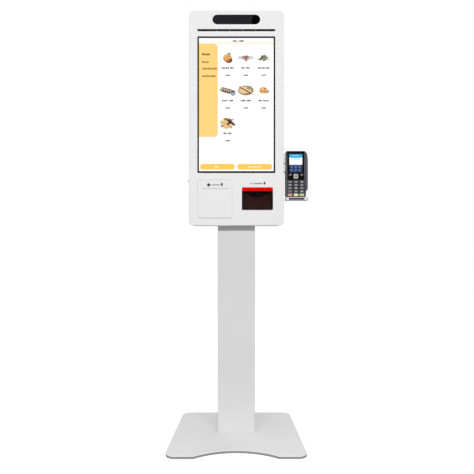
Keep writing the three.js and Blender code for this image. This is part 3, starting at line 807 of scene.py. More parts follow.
def finish(name):
    """A finish by its name, made the first time that it is asked for."""
    if name not in FINISHES:
        special = {build.__name__.replace("_", " "): build for build in SPECIAL_FINISHES}
        FINISHES[name] = special[name]() if name in special else coated(*coatings()[name])
    return FINISHES[name]


# ---- Pictures and printed marks ----


class Picture:
    """Flat coloured shapes in the XZ plane, each layer a little nearer the viewer than the last."""

    STEP = 0.02  # millimetres between layers

    def __init__(self, level):
        self.level = level
        self.points = []
        self.faces = []
        self.inks = []
        self.count = 0
        self.middle = (0, 0)

    def add(self, flat, faces, inks, layer):
        level = self.level - layer * self.STEP
        self.points.append(placed("Y", np.asarray(flat, float), level))
        self.faces += [[int(i) + self.count for i in face] for face in faces]
        inks = np.array([linear(*ink) for ink in np.atleast_2d(inks)])
        self.inks.append(np.broadcast_to(inks, (len(flat), 3)))
        self.count += len(flat)

    def shape(self, outline, inks, layer):
        """One outline in one ink, or with an ink for each point."""
        self.add(outline, [range(len(outline))], inks, layer)

    def shade(self, left, right, bottom, top, low_ink, high_ink, layer=1):
        """A rectangle that changes evenly from one ink at the bottom to another at the top."""
        corners = [(left, bottom), (right, bottom), (right, top), (left, top)]
        self.add(corners, [range(4)], [low_ink, low_ink, high_ink, high_ink], layer)

    def blob(self, offset, reach, inner, outer, layer, turn=0.0, waves=0, depth=0.0):
        """A wavy ellipse at an offset from the dish's middle: radius 1 + depth sin(waves a) at angle a,
        stretched by reach and turned. Its ink runs from inner at the middle to outer at the rim."""
        centre = self.middle[0] + offset[0], self.middle[1] + offset[1]
        angle = np.linspace(0, 2 * math.pi, 28, endpoint=False)
        radius = 1 + depth * np.sin(waves * angle + centre[0])
        flat = radius[:, None] * np.column_stack((reach[0] * np.cos(angle), reach[1] * np.sin(angle)))
        flat = rotated(flat, turn)
        rings = np.vstack((np.zeros((1, 2)), flat * 0.62, flat)) + np.array(centre)
        middle = (np.array(inner) * 2 + np.array(outer)) / 3
        inks = [inner] + [middle] * 28 + [outer] * 28
        near = np.arange(1, 29)
        after = np.roll(near, -1)
        fan = [[0, a, b] for a, b in zip(near, after)]
        band = [[a, a + 28, b + 28, b] for a, b in zip(near, after)]
        self.add(rings, fan + band, inks, layer)

    def word(self, left, middle, height, letters, ink, layer=2, weight=1.0):
        """A greeked word: small upright bars for letters, some of them tall."""
        pitch = height * 0.62
        for index in range(letters):
            tall = (index * index + 3 * index + letters) % 5 in (0, 3) or index == 0
            narrow = 0.7 if (index * 7 + letters) % 4 == 1 else 1.0
            x = left + index * pitch
            top = middle - height / 2 + height * (1.0 if tall else 0.76)
            width = pitch * 0.66 * narrow * weight
            bar = rounded(x, x + width, middle - height / 2, top, min(width, height) * 0.24, 2)
            self.shape(bar, ink, layer)
        return left + letters * pitch

    def figures(self, text, centre, middle, height, ink, layer):
        """Figures set in the built-in typeface."""
        flat, faces = typeset(text, height)
        self.add(flat + np.array((centre, middle)), faces, ink, layer)

    def mesh(self, name):
        mesh = bpy.data.meshes.new(name)
        mesh.from_pydata((np.vstack(self.points) * MM).tolist(), [], self.faces)
        inks = np.column_stack((np.vstack(self.inks), np.ones(self.count)))
        mesh.color_attributes.new("ink", "FLOAT_COLOR", "POINT")
        mesh.color_attributes["ink"].data.foreach_set("color", inks.astype(np.float32).ravel())
        turn_to_front(mesh)
        return mesh


def turn_to_front(mesh):
    """Turns the flat faces that look back, so that all of them look forward along -Y."""
    made = bmesh.new()
    made.from_mesh(mesh)
    made.normal_update()
    bmesh.ops.reverse_faces(made, faces=[f for f in made.faces if f.normal.y > 0])
    made.to_mesh(mesh)
    made.free()


TYPESET = {}


def typeset(text, height):
    """A line of text as flat points (u, v) about its middle, and its faces."""
    if text not in TYPESET:
        curve = bpy.data.curves.new("figures", "FONT")
        curve.body = text
        curve.align_x = "CENTER"
        curve.offset = 0.06
        curve.resolution_u = 3
        made = new_object("figures", curve)
        bpy.context.view_layer.update()
        mesh = evaluated_mesh(made)
        points = np.array([v.co[:2] for v in mesh.vertices])
        points -= (points.min(0) + points.max(0)) / 2
        TYPESET[text] = points, [list(p.vertices) for p in mesh.polygons]
        bpy.data.objects.remove(made)
    points, faces = TYPESET[text]
    return points * height / np.ptp(points[:, 1]), faces


def thicken(made, thickness):
    """Gives a flat mesh a wall, in millimetres, behind its face."""
    film = made.modifiers.new("film", "SOLIDIFY")
    film.thickness = thickness * MM
    film.offset = -1


def picture_piece(name, picture):
    """A lit picture as a thin closed film."""
    made = new_object(name, picture.mesh(name))
    made.data.materials.append(finish("lit picture"))
    thicken(made, 0.01)
    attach(made, "kiosk")
    return made


def print_marks(name, outlines, level, ink, body="kiosk", thickness=0.06):
    """Printed shapes on a front face, each a thin raised film of ink."""
    solid = Solid()
    for outline in outlines:
        solid.join(slab(outline, [(0, level + 0.02), (0, level - thickness)], "Y"))
    return piece(name, solid, ink, body=body)


# ---- Base and column ----

BASE = {"front": 486, "back": 441, "chord": 290, "sagitta": 46, "front_corner": 32, "back_corner": 32}
BOLT_PLACES = [(x, y) for x in (-48, 48) for y in (10, 48)]
FOOT = 4


def base_outline():
    """A trapezium with round corners and an arc cut from its front edge. The arc's radius comes from
    its chord and sagitta."""
    low, high = box_of("base_plate")
    near_y, far_y = low[1], high[1]
    front, back = BASE["front"] / 2, BASE["back"] / 2
    near, far = BASE["front_corner"], BASE["back_corner"]
    lean = math.atan2(front - back, far_y - near_y)
    radius = (BASE["chord"] ** 2 / 4 + BASE["sagitta"] ** 2) / (2 * BASE["sagitta"])
    reach = math.asin(BASE["chord"] / 2 / radius)
    front_x = front - near * math.tan(math.pi / 4 + lean / 2)
    back_x = back - far * math.tan(math.pi / 4 - lean / 2)
    upright = math.pi / 2
    return np.vstack(
        (
            arc((front_x, near_y + near), near, -upright, lean, 14),
            arc((back_x, far_y - far), far, lean, upright, 14),
            arc((-back_x, far_y - far), far, upright, math.pi - lean, 14),
            arc((-front_x, near_y + near), near, math.pi - lean, 3 * upright, 14),
            arc((0, near_y + BASE["sagitta"] - radius), radius, upright + reach, upright - reach, 40),
        )
    )


class KIOSK_OT_base(bpy.types.Operator):
    """Makes the base plate and the four bolts that hold the column on it"""

    bl_idname = "kiosk.base"
    bl_label = "Base plate and bolts"

    def execute(self, context):
        low, high = box_of("base_plate")
        edge = sizes().base_edge / MM
        sunk = [(4.1, low[2]), (0.0, 4.9), (0.0, high[2])]
        seat, band_top = 0.8, high[2] - edge - 0.4
        profile = wall(band_top, high[2], (0.0, 0.0), (edge, edge), 6)
        profile = np.vstack(([(1.2, low[2]), (seat, low[2] + 0.4), (seat, band_top)], profile))
        holes = [ring(x, y, 4.5) for x, y in BOLT_PLACES]
        plate = slab(base_outline(), profile, "Z", holes, sunk)
        piece("floor_plate", plate, "white paint", ["base_plate"])
        # painted shade: a grey ring round the base plate's sides darkens its front and side faces to stand
        # in for the shade on them
        band = wall(low[2] + 0.2, band_top - 0.1, (0.6, 0.6), (0.5, 0.5), 4)
        band = np.vstack((band + (0.06, 0), [(seat - 0.02, band_top - 0.1), (seat - 0.02, low[2] + 0.2)]))
        painted_shade_ring = Solid().band(carried(base_outline(), np.vstack((band, band[:1])), "Z"))
        piece("floor_plate_painted_shade", painted_shade_ring, "edge band")
        for number, (x, y) in enumerate(BOLT_PLACES, 1):
            self.bolt(number, x, y)
        return {"FINISHED"}

    def bolt(self, number, x, y):
        """A countersunk bolt with a hexagon socket in its head."""
        node = "base_bolt_%d" % number
        low, high = box_of(node)
        head, shaft, top = high[0] - x, 4.0, high[2]
        profile = [(0, low[2]), (head - 0.4, low[2]), (head, low[2] + 0.4), (shaft, low[2] + 4)]
        profile += [(shaft, top - 0.8), (shaft - 0.8, top), (0, top)]
        made = turned(profile, "Z", (x, y)).build("column_bolt_%d" % number)
        cut_away(made, [slab(ring(x, y, 2.9, 6), [(0, low[2] - 1), (0, low[2] + 3)], "Z")])
        settle(made, "zinc", [node])


class KIOSK_OT_column(bpy.types.Operator):
    """Makes the folded column, its rear cover with screws, its cap and the plate that holds the head"""

    bl_idname = "kiosk.column"
    bl_label = "Column"

    def execute(self, context):
        low, high = box_of("column")
        thick, corner = 2.0, 3.0
        outline = rounded(low[0], high[0], low[1], high[1], corner, 8)
        edge = sizes().sheet_edge / MM
        foot = low[2] + FOOT
        profile = np.vstack(
            (
                wall(low[2], high[2], (edge, edge), (edge, edge)),
                [(thick - edge, high[2]), (thick, high[2] - edge), (thick, foot)],
            )
        )
        holes = [ring(x, y, 4.5) for x, y in BOLT_PLACES] + [rounded(-30, 30, 14, 44, 1, 2)]
        made = slab(outline, profile, "Z", holes, [(0, low[2]), (0, foot)]).build("column_tube")
        back = [(0, high[1] - 4), (0, high[1] + 1)]
        cutters = [
            slab(ring(0, 1100, 25, 64), [(0, low[1] - 1), (0, low[1] + 3)], "Y"),
            slab(rounded(-56, 56, 150, 760, 2, 3), back, "Y"),
            slab(rounded(-39.4, -10.6, 79.6, 100.4, 0.5, 2), back, "Y"),
            slab(rounded(19.6, 40.4, 75.6, 104.4, 0.5, 2), back, "Y"),
        ]
        settle(cut_away(made, cutters), "column paint", ["column"])
        self.cover(edge)
        cap_low, cap_high = box_of("column_top_cap")
        brim, inset = cap_high[2] - 3, thick + 0.3
        cap = rounded(cap_low[0], cap_high[0], cap_low[1], cap_high[1], corner, 8)
        cap = slab(cap, wall(brim, cap_high[2], high_edge=(1.2, 1.2)), "Z")
        plug = (cap_low[0] + inset, cap_high[0] - inset, cap_low[1] + inset, cap_high[1] - inset)
        cap.join(slab(rounded(*plug, 1, 4), wall(cap_low[2], brim, (0.5, 0.5), (0, 0)), "Z"))
        piece("column_cap", cap, "dark plastic", ["column_top_cap"])
        eased("head_mount_plate", "steel")
        return {"FINISHED"}

    def cover(self, edge):
        low, high = box_of("column_rear_cover")
        outline = rounded(low[0], high[0], low[2], high[2], 4, 6)
        rows = np.linspace(low[2] + 10, high[2] - 10, 4)
        places = [(x, z) for x in (low[0] + 8, high[0] - 8) for z in rows]
        cover = slab(outline, wall(low[1], high[1], (0.1, 0.1), (edge, edge)), "Y")
        piece("service_cover", cover, "column paint", ["column_rear_cover"])
        screws("service_cover_screws", places, "Y", high[1], 1, 3.2)


class KIOSK_OT_power_entry(bpy.types.Operator):
    """Makes the mains inlet with its screws, the switch frame and the rocker"""

    bl_idname = "kiosk.power_entry"
    bl_label = "Power inlet and switch"

    def execute(self, context):
        eased("power_inlet", "dark plastic", 0.35)
        eased("switch_housing", "dark plastic", 0.35)
        eased("switch_rocker", "switch red", 0.35)
        low, high = box_of("power_inlet")
        places = [(x, middle_of("power_inlet")[2]) for x in (low[0] + 5, high[0] - 5)]
        screws("inlet_screws", places, "Y", high[1], 1, 2.4)
        return {"FINISHED"}


# ---- Head ----

HEAD_CORNER = 18
PANEL_THICK = 2.7
WINDOWS = {
    "camera": (-85.5, 85.5, 1508.1, 1542.9, 17.39),
    "light_bar": (-139.2, 139.2, 1483.2, 1491.2, 1.5),
    "screen": (-139.5, 139.5, 975, 1465.2, 3),
    "door": (-138, -14.8, 813, 950.8, 5),
    "scanner": (20, 131.5, 842.3, 924, 4),
}
LOCK_CENTRE = (-70, 949)
CABLE_HOLE = (0, 1100, 25)


def hinge_lug(start, wide, back):
    """A lug behind a sheet, with a rounded end and a bore for the door's pin."""
    _, y, z = middle_of("door_hinge_pin")
    end = arc((y, z), 4, -math.pi / 2, math.pi / 2, 12)
    outline = np.vstack(([(back - 0.1, z - 4)], end, [(back - 0.1, z + 4)]))
    return slab(outline, wall(start, start + wide), "X", [ring(y, z, 1.6, 24)])


def head_outline():
    low, high = box_of("front_panel")
    return rounded(low[0], high[0], low[2], high[2], HEAD_CORNER, 16)


class KIOSK_OT_head_shell(bpy.types.Operator):
    """Makes the head's front panel with its hinge lugs, and the deep tray behind it"""

    bl_idname = "kiosk.head_shell"
    bl_label = "Head shell"

    def execute(self, context):
        self.front_panel()
        self.tray()
        return {"FINISHED"}

    def front_panel(self):
        low, _ = box_of("front_panel")
        back = box_of("printer_door")[0][1] + PANEL_THICK
        front_edge = (sizes().panel_reach / MM, sizes().panel_depth / MM)
        outline_profile = wall(back, low[1], (0.2, 0.2), front_edge, 6)
        hole_profile = wall(back, low[1], (0.1, 0.1), (0.5, 0.5), 6)
        holes = [rounded(*window, 12) for window in WINDOWS.values()]
        panel = slab(head_outline(), outline_profile, "Y", holes, hole_profile)
        for start in (-142, -13.8):
            panel.join(hinge_lug(start, 3, back))
        self.door_stops(panel, back)
        piece("head_front_panel", panel, "white paint", ["front_panel"])

    def door_stops(self, panel, back):
        """Lips behind the door's sides and top, and a curved lip that its lower edge swings over."""
        left, right, _, top, _ = WINDOWS["door"]
        reach, thick, gap = 1.9, 0.8, 0.1
        front, rear = back + gap, back + gap + thick
        _, pivot_y, pivot_z = middle_of("door_hinge_pin")
        panel.join(block((left - 1.5, front, pivot_z + 6), (left + reach, rear, top + 1.5), 0.2))
        panel.join(block((right - reach, front, pivot_z + 6), (right + 1.5, rear, top + 1.5), 0.2))
        panel.join(block((left - 1.5, front, top - reach), (right + 1.5, rear, top + 1.5), 0.2))
        sweep = math.radians(-98), math.radians(-42)
        inner = arc((pivot_y, pivot_z), 13.15, *sweep, 16)
        outer = arc((pivot_y, pivot_z), 13.15 + thick, *sweep, 16)
        panel.join(slab(np.vstack((outer, inner[::-1])), wall(left + 0.5, right - 0.5), "X"))

    def tray(self):
        low, high = box_of("rear_housing")
        bend, thick, inner_bend = sizes().tray_bend / MM, 2.0, 1.0
        turn = np.linspace(0, math.pi / 2, 6)
        sine, cosine, floor = 1 - np.sin(turn), 1 - np.cos(turn), high[1] - thick
        outer = np.column_stack((bend * sine, high[1] - bend * cosine))
        inner = np.column_stack((thick + inner_bend * cosine, floor - inner_bend * sine))
        profile = np.vstack((outer, [(0.0, low[1]), (thick, low[1])], inner))
        holes = [ring(*CABLE_HOLE, 48)]
        for left in (-130, 40):
            holes += [rounded(left, left + 90, z, z + 5, 2.49, 5) for z in 1450 + 12 * np.arange(7)]
        made = slab(head_outline(), profile, "Y", holes, [(0, high[1]), (0, floor)]).build("head_tray")
        cutters = [slab(ring(*LOCK_CENTRE, 6.3, 48), [(0, low[0] - 1), (0, low[0] + 3)], "X")]
        for left in (-145, 95):
            for y in -62 + 8 * np.arange(4):
                slot = rounded(left, left + 50, y, y + 3, 1.4, 4)
                cutters.append(slab(slot, [(0, low[2] - 1), (0, low[2] + 3)], "Z"))
        settle(cut_away(made, cutters), "white paint", ["rear_housing"])
        columns = (low[0] + 14, high[0] - 14)
        places = [(x, z) for x in columns for z in np.linspace(low[2] + 16, high[2] - 16, 5)]
        screws("head_rear_screws", places, "Y", high[1], 1, 3.2)


class KIOSK_OT_windows(bpy.types.Operator):
    """Makes the camera window with the camera behind it, and the light bar with its sensors"""

    bl_idname = "kiosk.windows"
    bl_label = "Camera window and light bar"

    def execute(self, context):
        self.insert("camera_cover", "camera_window", "camera", 2.5, "camera glass", "black_glass")
        self.insert("light_bar_lens", "light_bar", "light_bar", 2.0, "bar plastic", "bar_plastic")
        eased("camera_module", "dark plastic")
        middle = middle_of("light_bar")[2]
        spots = 46.4 * (np.arange(4) - 1.5)
        marks = [rounded(x - 2.2, x + 2.2, middle - 1.5, middle + 1.5, 0.9, 3) for x in spots]
        print_marks("light_bar_sensors", marks, box_of("light_bar")[0][1], "bar rib")
        return {"FINISHED"}

    def insert(self, name, node, window, flange, look, slot):
        """A face that fills a window, with a wider flange behind the panel."""
        fit = 0.35
        left, right, bottom, top, corner = WINDOWS[window]
        outline = rounded(left + fit, right - fit, bottom + fit, top - fit, max(corner - fit, 1.0), 12)
        low, high = box_of(node)
        step = box_of("rear_housing")[0][1]
        turn = np.linspace(0, math.pi / 2, 5)
        edge = np.column_stack((0.5 * (1 - np.cos(turn)), low[1] + 0.5 * (1 - np.sin(turn))))
        profile = np.vstack(([(-flange, high[1]), (-flange, step), (0, step)], edge))
        piece(name, slab(outline, profile, "Y"), look, [node])


# ---- Screen ----

SCREEN_HALF = (134.0, 238.8)  # half width and half height of the lit area
SCREEN_MIDDLE = 1221.1
ITEM_COLUMNS = (-30.8, 34.2, 98.6)
ITEM_TOP = 168.4
ITEM_PITCH = 117.4
CREAM = (240, 230, 184)
WHITE = (255, 255, 255)
AMBER = (254, 212, 124)
BUTTON = (251, 202, 84)
BROWN = (150, 98, 30)
GREY = (66, 66, 70)


def curry_bowl(blob):
    blob((3, -8), (13.5, 11), (58, 14, 16), (24, 6, 8), 2)
    blob((-1, -2), (15, 13), (214, 132, 62), (186, 96, 48), 3, 0.3)
    pieces = ((-9, 4, 6, 6), (1, 7, 8, 6), (8, 1, 6, 5), (-4, -3, 7, 4.6), (-9, -6, 4, 4), (3, 0, 6, 4))
    for k, (du, dv, wide, tall) in enumerate(pieces):
        blob((du, dv), (wide, tall), (255, 204, 122), (206, 118, 48), 4 + k % 2, 0.4 * k, 5, 0.12)
    for du, dv in ((-4, 2), (5, 4), (0, -6), (9, -5)):
        blob((du, dv), (2.2, 1.3), (140, 70, 30), (170, 92, 44), 6, du, 3, 0.2)
    blob((3, 14), (8, 3.4), (182, 180, 128), (140, 146, 92), 6, 0.2, 4, 0.2)
    blob((7, 12), (3, 2), (110, 122, 66), (130, 136, 80), 7, 0.5, 3, 0.2)


def meat_plate(blob):
    blob((0, 0), (28, 7.6), (240, 240, 240), (186, 190, 190), 2)
    blob((0, 0.5), (22, 5.2), (226, 224, 222), (208, 206, 204), 3)
    pieces = ((-7, 1, 7, 4), (1, 4, 6, 4), (7, 0, 6, 3.6), (-1, -3, 8, 4), (1, -8, 6, 3.4))
    for k, (du, dv, wide, tall) in enumerate(pieces):
        blob((du, dv), (wide, tall), (204, 146, 128), (136, 74, 62), 4 + k % 2, 0.5 * k, 5, 0.14)
    for du, dv in ((0, 1), (-4, -1), (4, 3)):
        blob((du, dv), (2.4, 1.5), (92, 44, 38), (128, 66, 54), 6, du, 3, 0.2)


def green_mound(blob):
    blob((0, -6), (25, 4.6), (240, 242, 234), (200, 204, 190), 2)
    pieces = ((-8, -5, 10, 4), (8, -4, 11, 4), (1, -1, 12, 6), (-5, 1, 8, 5), (4, 4, 7, 5), (1, 7, 5, 3.4))
    for k, (du, dv, wide, tall) in enumerate(pieces):
        light = (176, 180, 150) if k % 2 else (142, 150, 118)
        dark = (118, 126, 94) if k % 2 else (78, 84, 62)
        blob((du, dv), (wide, tall), light, dark, 3 + k % 3, 0.7 * k, 6, 0.14)
    for du, dv, wide in ((-11, -4, 5), (-7, 0, 4), (-3, 5, 3)):
        blob((du, dv), (wide, 2.2), (44, 42, 36), (70, 70, 56), 6, 0.8, 3, 0.15)
    blob((-5, -8), (5, 2.4), (222, 214, 200), (176, 168, 150), 6, 0.2, 3, 0.15)


def sliced_rolls(blob):
    blob((-5, -2), (24, 8.5), (238, 232, 224), (212, 206, 198), 2, -0.24)
    for k in range(5):
        du, dv = -19 + 7.0 * k, 3.5 - 1.8 * k
        blob((du, dv), (5.4, 8.4), (92, 76, 62), (40, 34, 32), 3 + k % 2, -0.25)
        blob((du + 1, dv + 1), (3.0, 4.4), (238, 214, 184), (176, 140, 104), 5, -0.25)
    blob((-23, 1), (5.5, 4.4), (158, 190, 122), (106, 138, 84), 6, 0.3, 4, 0.2)
    blob((19, -9), (9, 10.5), (176, 186, 200), (118, 130, 148), 6)
    blob((18, -4), (7.4, 4.6), (84, 80, 80), (132, 134, 138), 7)


def grill_platter(blob):
    blob((0, 0), (28, 17.5), (206, 172, 132), (150, 116, 84), 2)
    blob((-2, 1), (23.5, 13.5), (244, 214, 170), (222, 184, 138), 3)
    for k in range(7):
        du, dv = -17 + 5.4 * k, 9 - 2.9 * k
        blob((du, dv), (10, 2.2), (118, 62, 34), (156, 92, 56), 4, -0.62)
        blob((du + 2, dv + 3.0), (7, 1.0), (255, 232, 200), (236, 198, 156), 5, -0.62)
    blob((13, 9), (10, 5.4), (162, 158, 126), (116, 118, 88), 6, 0.1, 5, 0.15)
    blob((16, 4), (7, 4), (196, 182, 150), (146, 138, 108), 7, -0.3, 5, 0.15)
    blob((4, -13), (13, 2.6), (170, 108, 66), (138, 84, 50), 6, 0.08)


def burger(blob):
    blob((9, -4), (11, 6.6), (204, 188, 168), (158, 144, 130), 2, 0.1, 6, 0.1)
    blob((-12, -3), (7, 5), (250, 244, 232), (236, 222, 200), 2)
    blob((-2, -5), (12.5, 6), (244, 190, 110), (214, 144, 66), 3)
    blob((-2, -1.6), (13, 2.8), (132, 80, 44), (156, 98, 54), 4)
    blob((-2, -0.2), (13.4, 1.8), (214, 190, 110), (236, 178, 86), 5, 0.0, 9, 0.05)
    blob((-2, 4.4), (12.5, 7.2), (248, 198, 122), (212, 140, 66), 6)
    blob((4, 6.5), (4.6, 2.8), (166, 92, 50), (206, 136, 74), 7, -0.3)
    for du, dv in ((-8, 6), (-4, 9), (-1, 5), (-6, 3)):
        blob((du, dv), (1.1, 0.7), (255, 244, 214), (252, 228, 176), 7, 0.5)


def chips_and_sausage(blob):
    blob((-1, -1), (27, 17), (246, 240, 222), (236, 228, 206), 2)
    places = ((-19, 4), (-14, -6), (-9, 6), (-10, -14), (-3, -3))
    places += ((0, -15), (5, -8), (-17, -1), (10, -14), (-4, 9))
    for k, (du, dv) in enumerate(places):
        blob((du, dv), (6.6, 4.8), (248, 206, 138), (204, 146, 78), 3 + k % 3, 0.8 * k, 3, 0.22)
    blob((-3, 14), (13, 4), (132, 124, 72), (104, 92, 52), 6, -0.1, 5, 0.12)
    blob((7, 8), (9, 7), (120, 72, 46), (92, 50, 34), 5, -0.5, 5, 0.1)
    blob((13, 1), (17, 4.4), (66, 34, 24), (48, 22, 16), 6, -0.58)
    blob((2, -3), (6, 5), (134, 74, 40), (96, 50, 30), 6, 0.4, 4, 0.14)
    for du, dv, wide in ((19, 13, 2.6), (14, 15, 1.6), (22, 8, 1.4)):
        blob((du, dv), (wide, wide * 0.8), (96, 74, 92), (134, 112, 126), 7)
    blob((-20, -11), (4.6, 3.6), (118, 130, 92), (92, 106, 72), 7, 0.3, 4, 0.2)
    blob((12, -13), (4, 2.2), (206, 140, 66), (168, 104, 48), 7, 0.3, 4, 0.2)


DISHES = (curry_bowl, meat_plate, green_mound, sliced_rolls, grill_platter, burger, chips_and_sausage)
NAME_LETTERS = ((8, 4), (4, 4), (8, 4), (6, 5), (5, 5), (4, 6), (4, 4))
PRICES = ("$5.50", "$6.80", "$4.90", "$7.20", "$9.50", "$6.40", "$8.20")


def menu_picture(level):
    """The menu: a header, a side bar, three columns of dishes and two buttons."""
    sheet = Picture(level)
    half_wide, half_tall = SCREEN_HALF
    sheet.shade(-half_wide, half_wide, -half_tall, half_tall, WHITE, WHITE, 0)
    header = 218.0
    sheet.shade(-half_wide, half_wide, header + 3, half_tall - 4, (252, 247, 226), WHITE)
    sheet.shade(-half_wide, half_wide, header, header + 3, CREAM, (252, 247, 226))
    sheet.word(-12, header + 10.5, 6.4, 4, (104, 92, 70), 2, 1.25)
    sheet.word(8, header + 10.5, 6.4, 5, (104, 92, 70), 2, 1.25)
    side_right, side_bottom, corner = -66.7, -115.8, 12.0
    side = np.vstack(
        (
            [(-half_wide, header), (-half_wide, side_bottom)],
            arc((side_right - corner, side_bottom + corner), corner, -math.pi / 2, 0, 10),
            arc((side_right - corner * 1.2, header - corner * 1.2), corner * 1.2, 0, math.pi / 2, 10),
        )
    )
    sheet.shape(side, AMBER, 1)
    lines = ((181.0, 8.0, 6, 1.36, (118, 68, 14)), (153.1, 6.8, 6, 1.3, BROWN))
    lines += ((129.3, 6.8, 13, 1.3, BROWN), (102.5, 6.8, 12, 1.3, BROWN))
    for middle, height, letters, weight, ink in lines:
        sheet.word(-122.6, middle, height, letters, ink, 2, weight)
    for index, dish in enumerate(DISHES):
        x = ITEM_COLUMNS[index % 3]
        v = ITEM_TOP - ITEM_PITCH * (index // 3)
        sheet.middle = (x, v)
        dish(sheet.blob)
        first, second = NAME_LETTERS[index]
        height = 5.6
        start = x - (first + second + 0.8) * height * 0.31
        after = sheet.word(start, v - 36.6, height, first, GREY, 2, 1.4)
        sheet.word(after + height * 0.5, v - 36.6, height, second, GREY, 2, 1.4)
        sheet.figures(PRICES[index], x, v - 63.2, 6.4, (20, 20, 24), 2)
    for left, right, letters in ((-129.4, -6.1, 4), (4.3, 128.3, 11)):
        sheet.shape(rounded(left, right, -233.3, -212.9, 8, 8), BUTTON, 1)
        height = 7.0
        start = (left + right) / 2 - letters * height * 0.31
        sheet.word(start, -223.1, height, letters, (255, 240, 200))
    return sheet


class KIOSK_OT_screen(bpy.types.Operator):
    """Makes the touch glass, its black border, the panel behind it and the lit menu"""

    bl_idname = "kiosk.screen"
    bl_label = "Touch screen"

    def execute(self, context):
        low, high = box_of("touch_glass")
        outline = rounded(low[0], high[0], low[2], high[2], 2.65, 8)
        glass = slab(outline, wall(high[1], low[1], high_edge=(0.35, 0.35)), "Y")
        piece("touch_screen_glass", glass, "touch glass", ["touch_glass"])
        half_wide, half_tall = SCREEN_HALF
        bottom, top = SCREEN_MIDDLE - half_tall, SCREEN_MIDDLE + half_tall
        opening = rounded(-half_wide, half_wide, bottom, top, 0.6, 3)
        levels = [(0, high[1] + 0.04), (0, high[1] + 0.16)]
        border = slab(outline, [(0.25, level) for _, level in levels], "Y", [opening], levels)
        piece("screen_border", border, "black ink")
        eased("lcd_panel", "dark plastic")
        eased("lcd_back_plate", "steel")
        sheet = menu_picture(box_of("lcd_panel")[0][1] - 0.01)
        made = picture_piece("menu_picture", sheet)
        made.data.transform(Matrix.Translation((0, 0, SCREEN_MIDDLE * MM)))
        return {"FINISHED"}


class KIOSK_OT_electronics(bpy.types.Operator):
    """Makes the main board with its parts, the power supply and the two speakers"""

    bl_idname = "kiosk.electronics"
    bl_label = "Electronics"

    def execute(self, context):
        self.board()
        eased("power_supply", "steel", 0.6)
        for node in ("speaker_left", "speaker_right"):
            eased(node, "dark plastic", 0.6)
        return {"FINISHED"}

    def board(self):
        """The board's sheet on four posts, and on its front a finned cooler, two memory sockets and a
        row of ports."""
        low, high = box_of("main_board")
        front, back, inset = low[1] + 16.4, low[1] + 18, 8
        rows = (low[2] + inset, high[2] - inset)
        posts = [(x, z) for x in (low[0] + inset, high[0] - inset) for z in rows]
        outline = rounded(low[0], high[0], low[2], high[2], 2, 4)
        holes = [ring(x, z, 1.7, 16) for x, z in posts]
        sheet = slab(outline, wall(back, front, (0.1, 0.1), (0.1, 0.1), 1), "Y", holes)
        piece("main_board_sheet", sheet, "circuit board", ["main_board"])
        feet = Solid()
        for place in posts:
            post = [(0, front - 1.6), (2.6, front - 1.6), (2.6, front), (1.6, front), (1.6, back)]
            post += [(3, back), (3, high[1]), (0, high[1])]
            feet.join(turned(post, "Y", place, 24))
        piece("main_board_posts", feet, "zinc")
        left, right, bottom, top = -70, -10, 1270, 1330
        cooler = block((left, front - 4, bottom), (right, front, top), 0.4)
        for x in np.linspace(left, right - 1.2, 15):
            cooler.join(block((x, low[1], bottom), (x + 1.2, front - 3.9, top), 0.3))
        piece("board_cooler", cooler, "chrome")
        sockets = Solid()
        for x in (12, 28):
            sockets.join(block((x, front - 6, 1250), (x + 9, front, 1360), 0.5))
        piece("memory_sockets", sockets, "dark plastic")
        ports = Solid()
        for x in np.arange(-118, -32, 18):
            mouth = rounded(x + 1, x + 14, front - 11, front - 2, 0.5, 2)
            shell = rounded(x, x + 15, front - 12, front, 0.8, 3)
            levels = [(0, 1202), (0, 1221)]
            ports.join(slab(shell, levels, "Z", [mouth], levels))
            ports.join(block((x + 0.9, front - 11.1, 1216), (x + 14.1, front - 1.9, 1217), 0.1))
        piece("board_ports", ports, "zinc")


# ---- Receipt printer ----


def arrow_down(x, z, half_width, half_height):
    """A short fat arrow pointing down."""
    stem = half_width * 0.6
    points = [
        (x, z - half_height),
        (x + half_width, z + half_height * 0.1),
        (x + stem, z + half_height * 0.1),
        (x + stem, z + half_height),
        (x - stem, z + half_height),
        (x - stem, z + half_height * 0.1),
        (x - half_width, z + half_height * 0.1),
    ]
    return np.array(points)


def letter_bars(left, middle, height, letters):
    """Outlines of a greeked word, as upright bars."""
    pitch = height * 0.62
    bars = []
    for index in range(letters):
        x = left + index * pitch
        top = middle - height / 2 + height * (1.0 if (index * index + letters) % 3 == 0 else 0.7)
        bars.append(rounded(x, x + pitch * 0.72, middle - height / 2, top, height * 0.12, 2))
    return bars


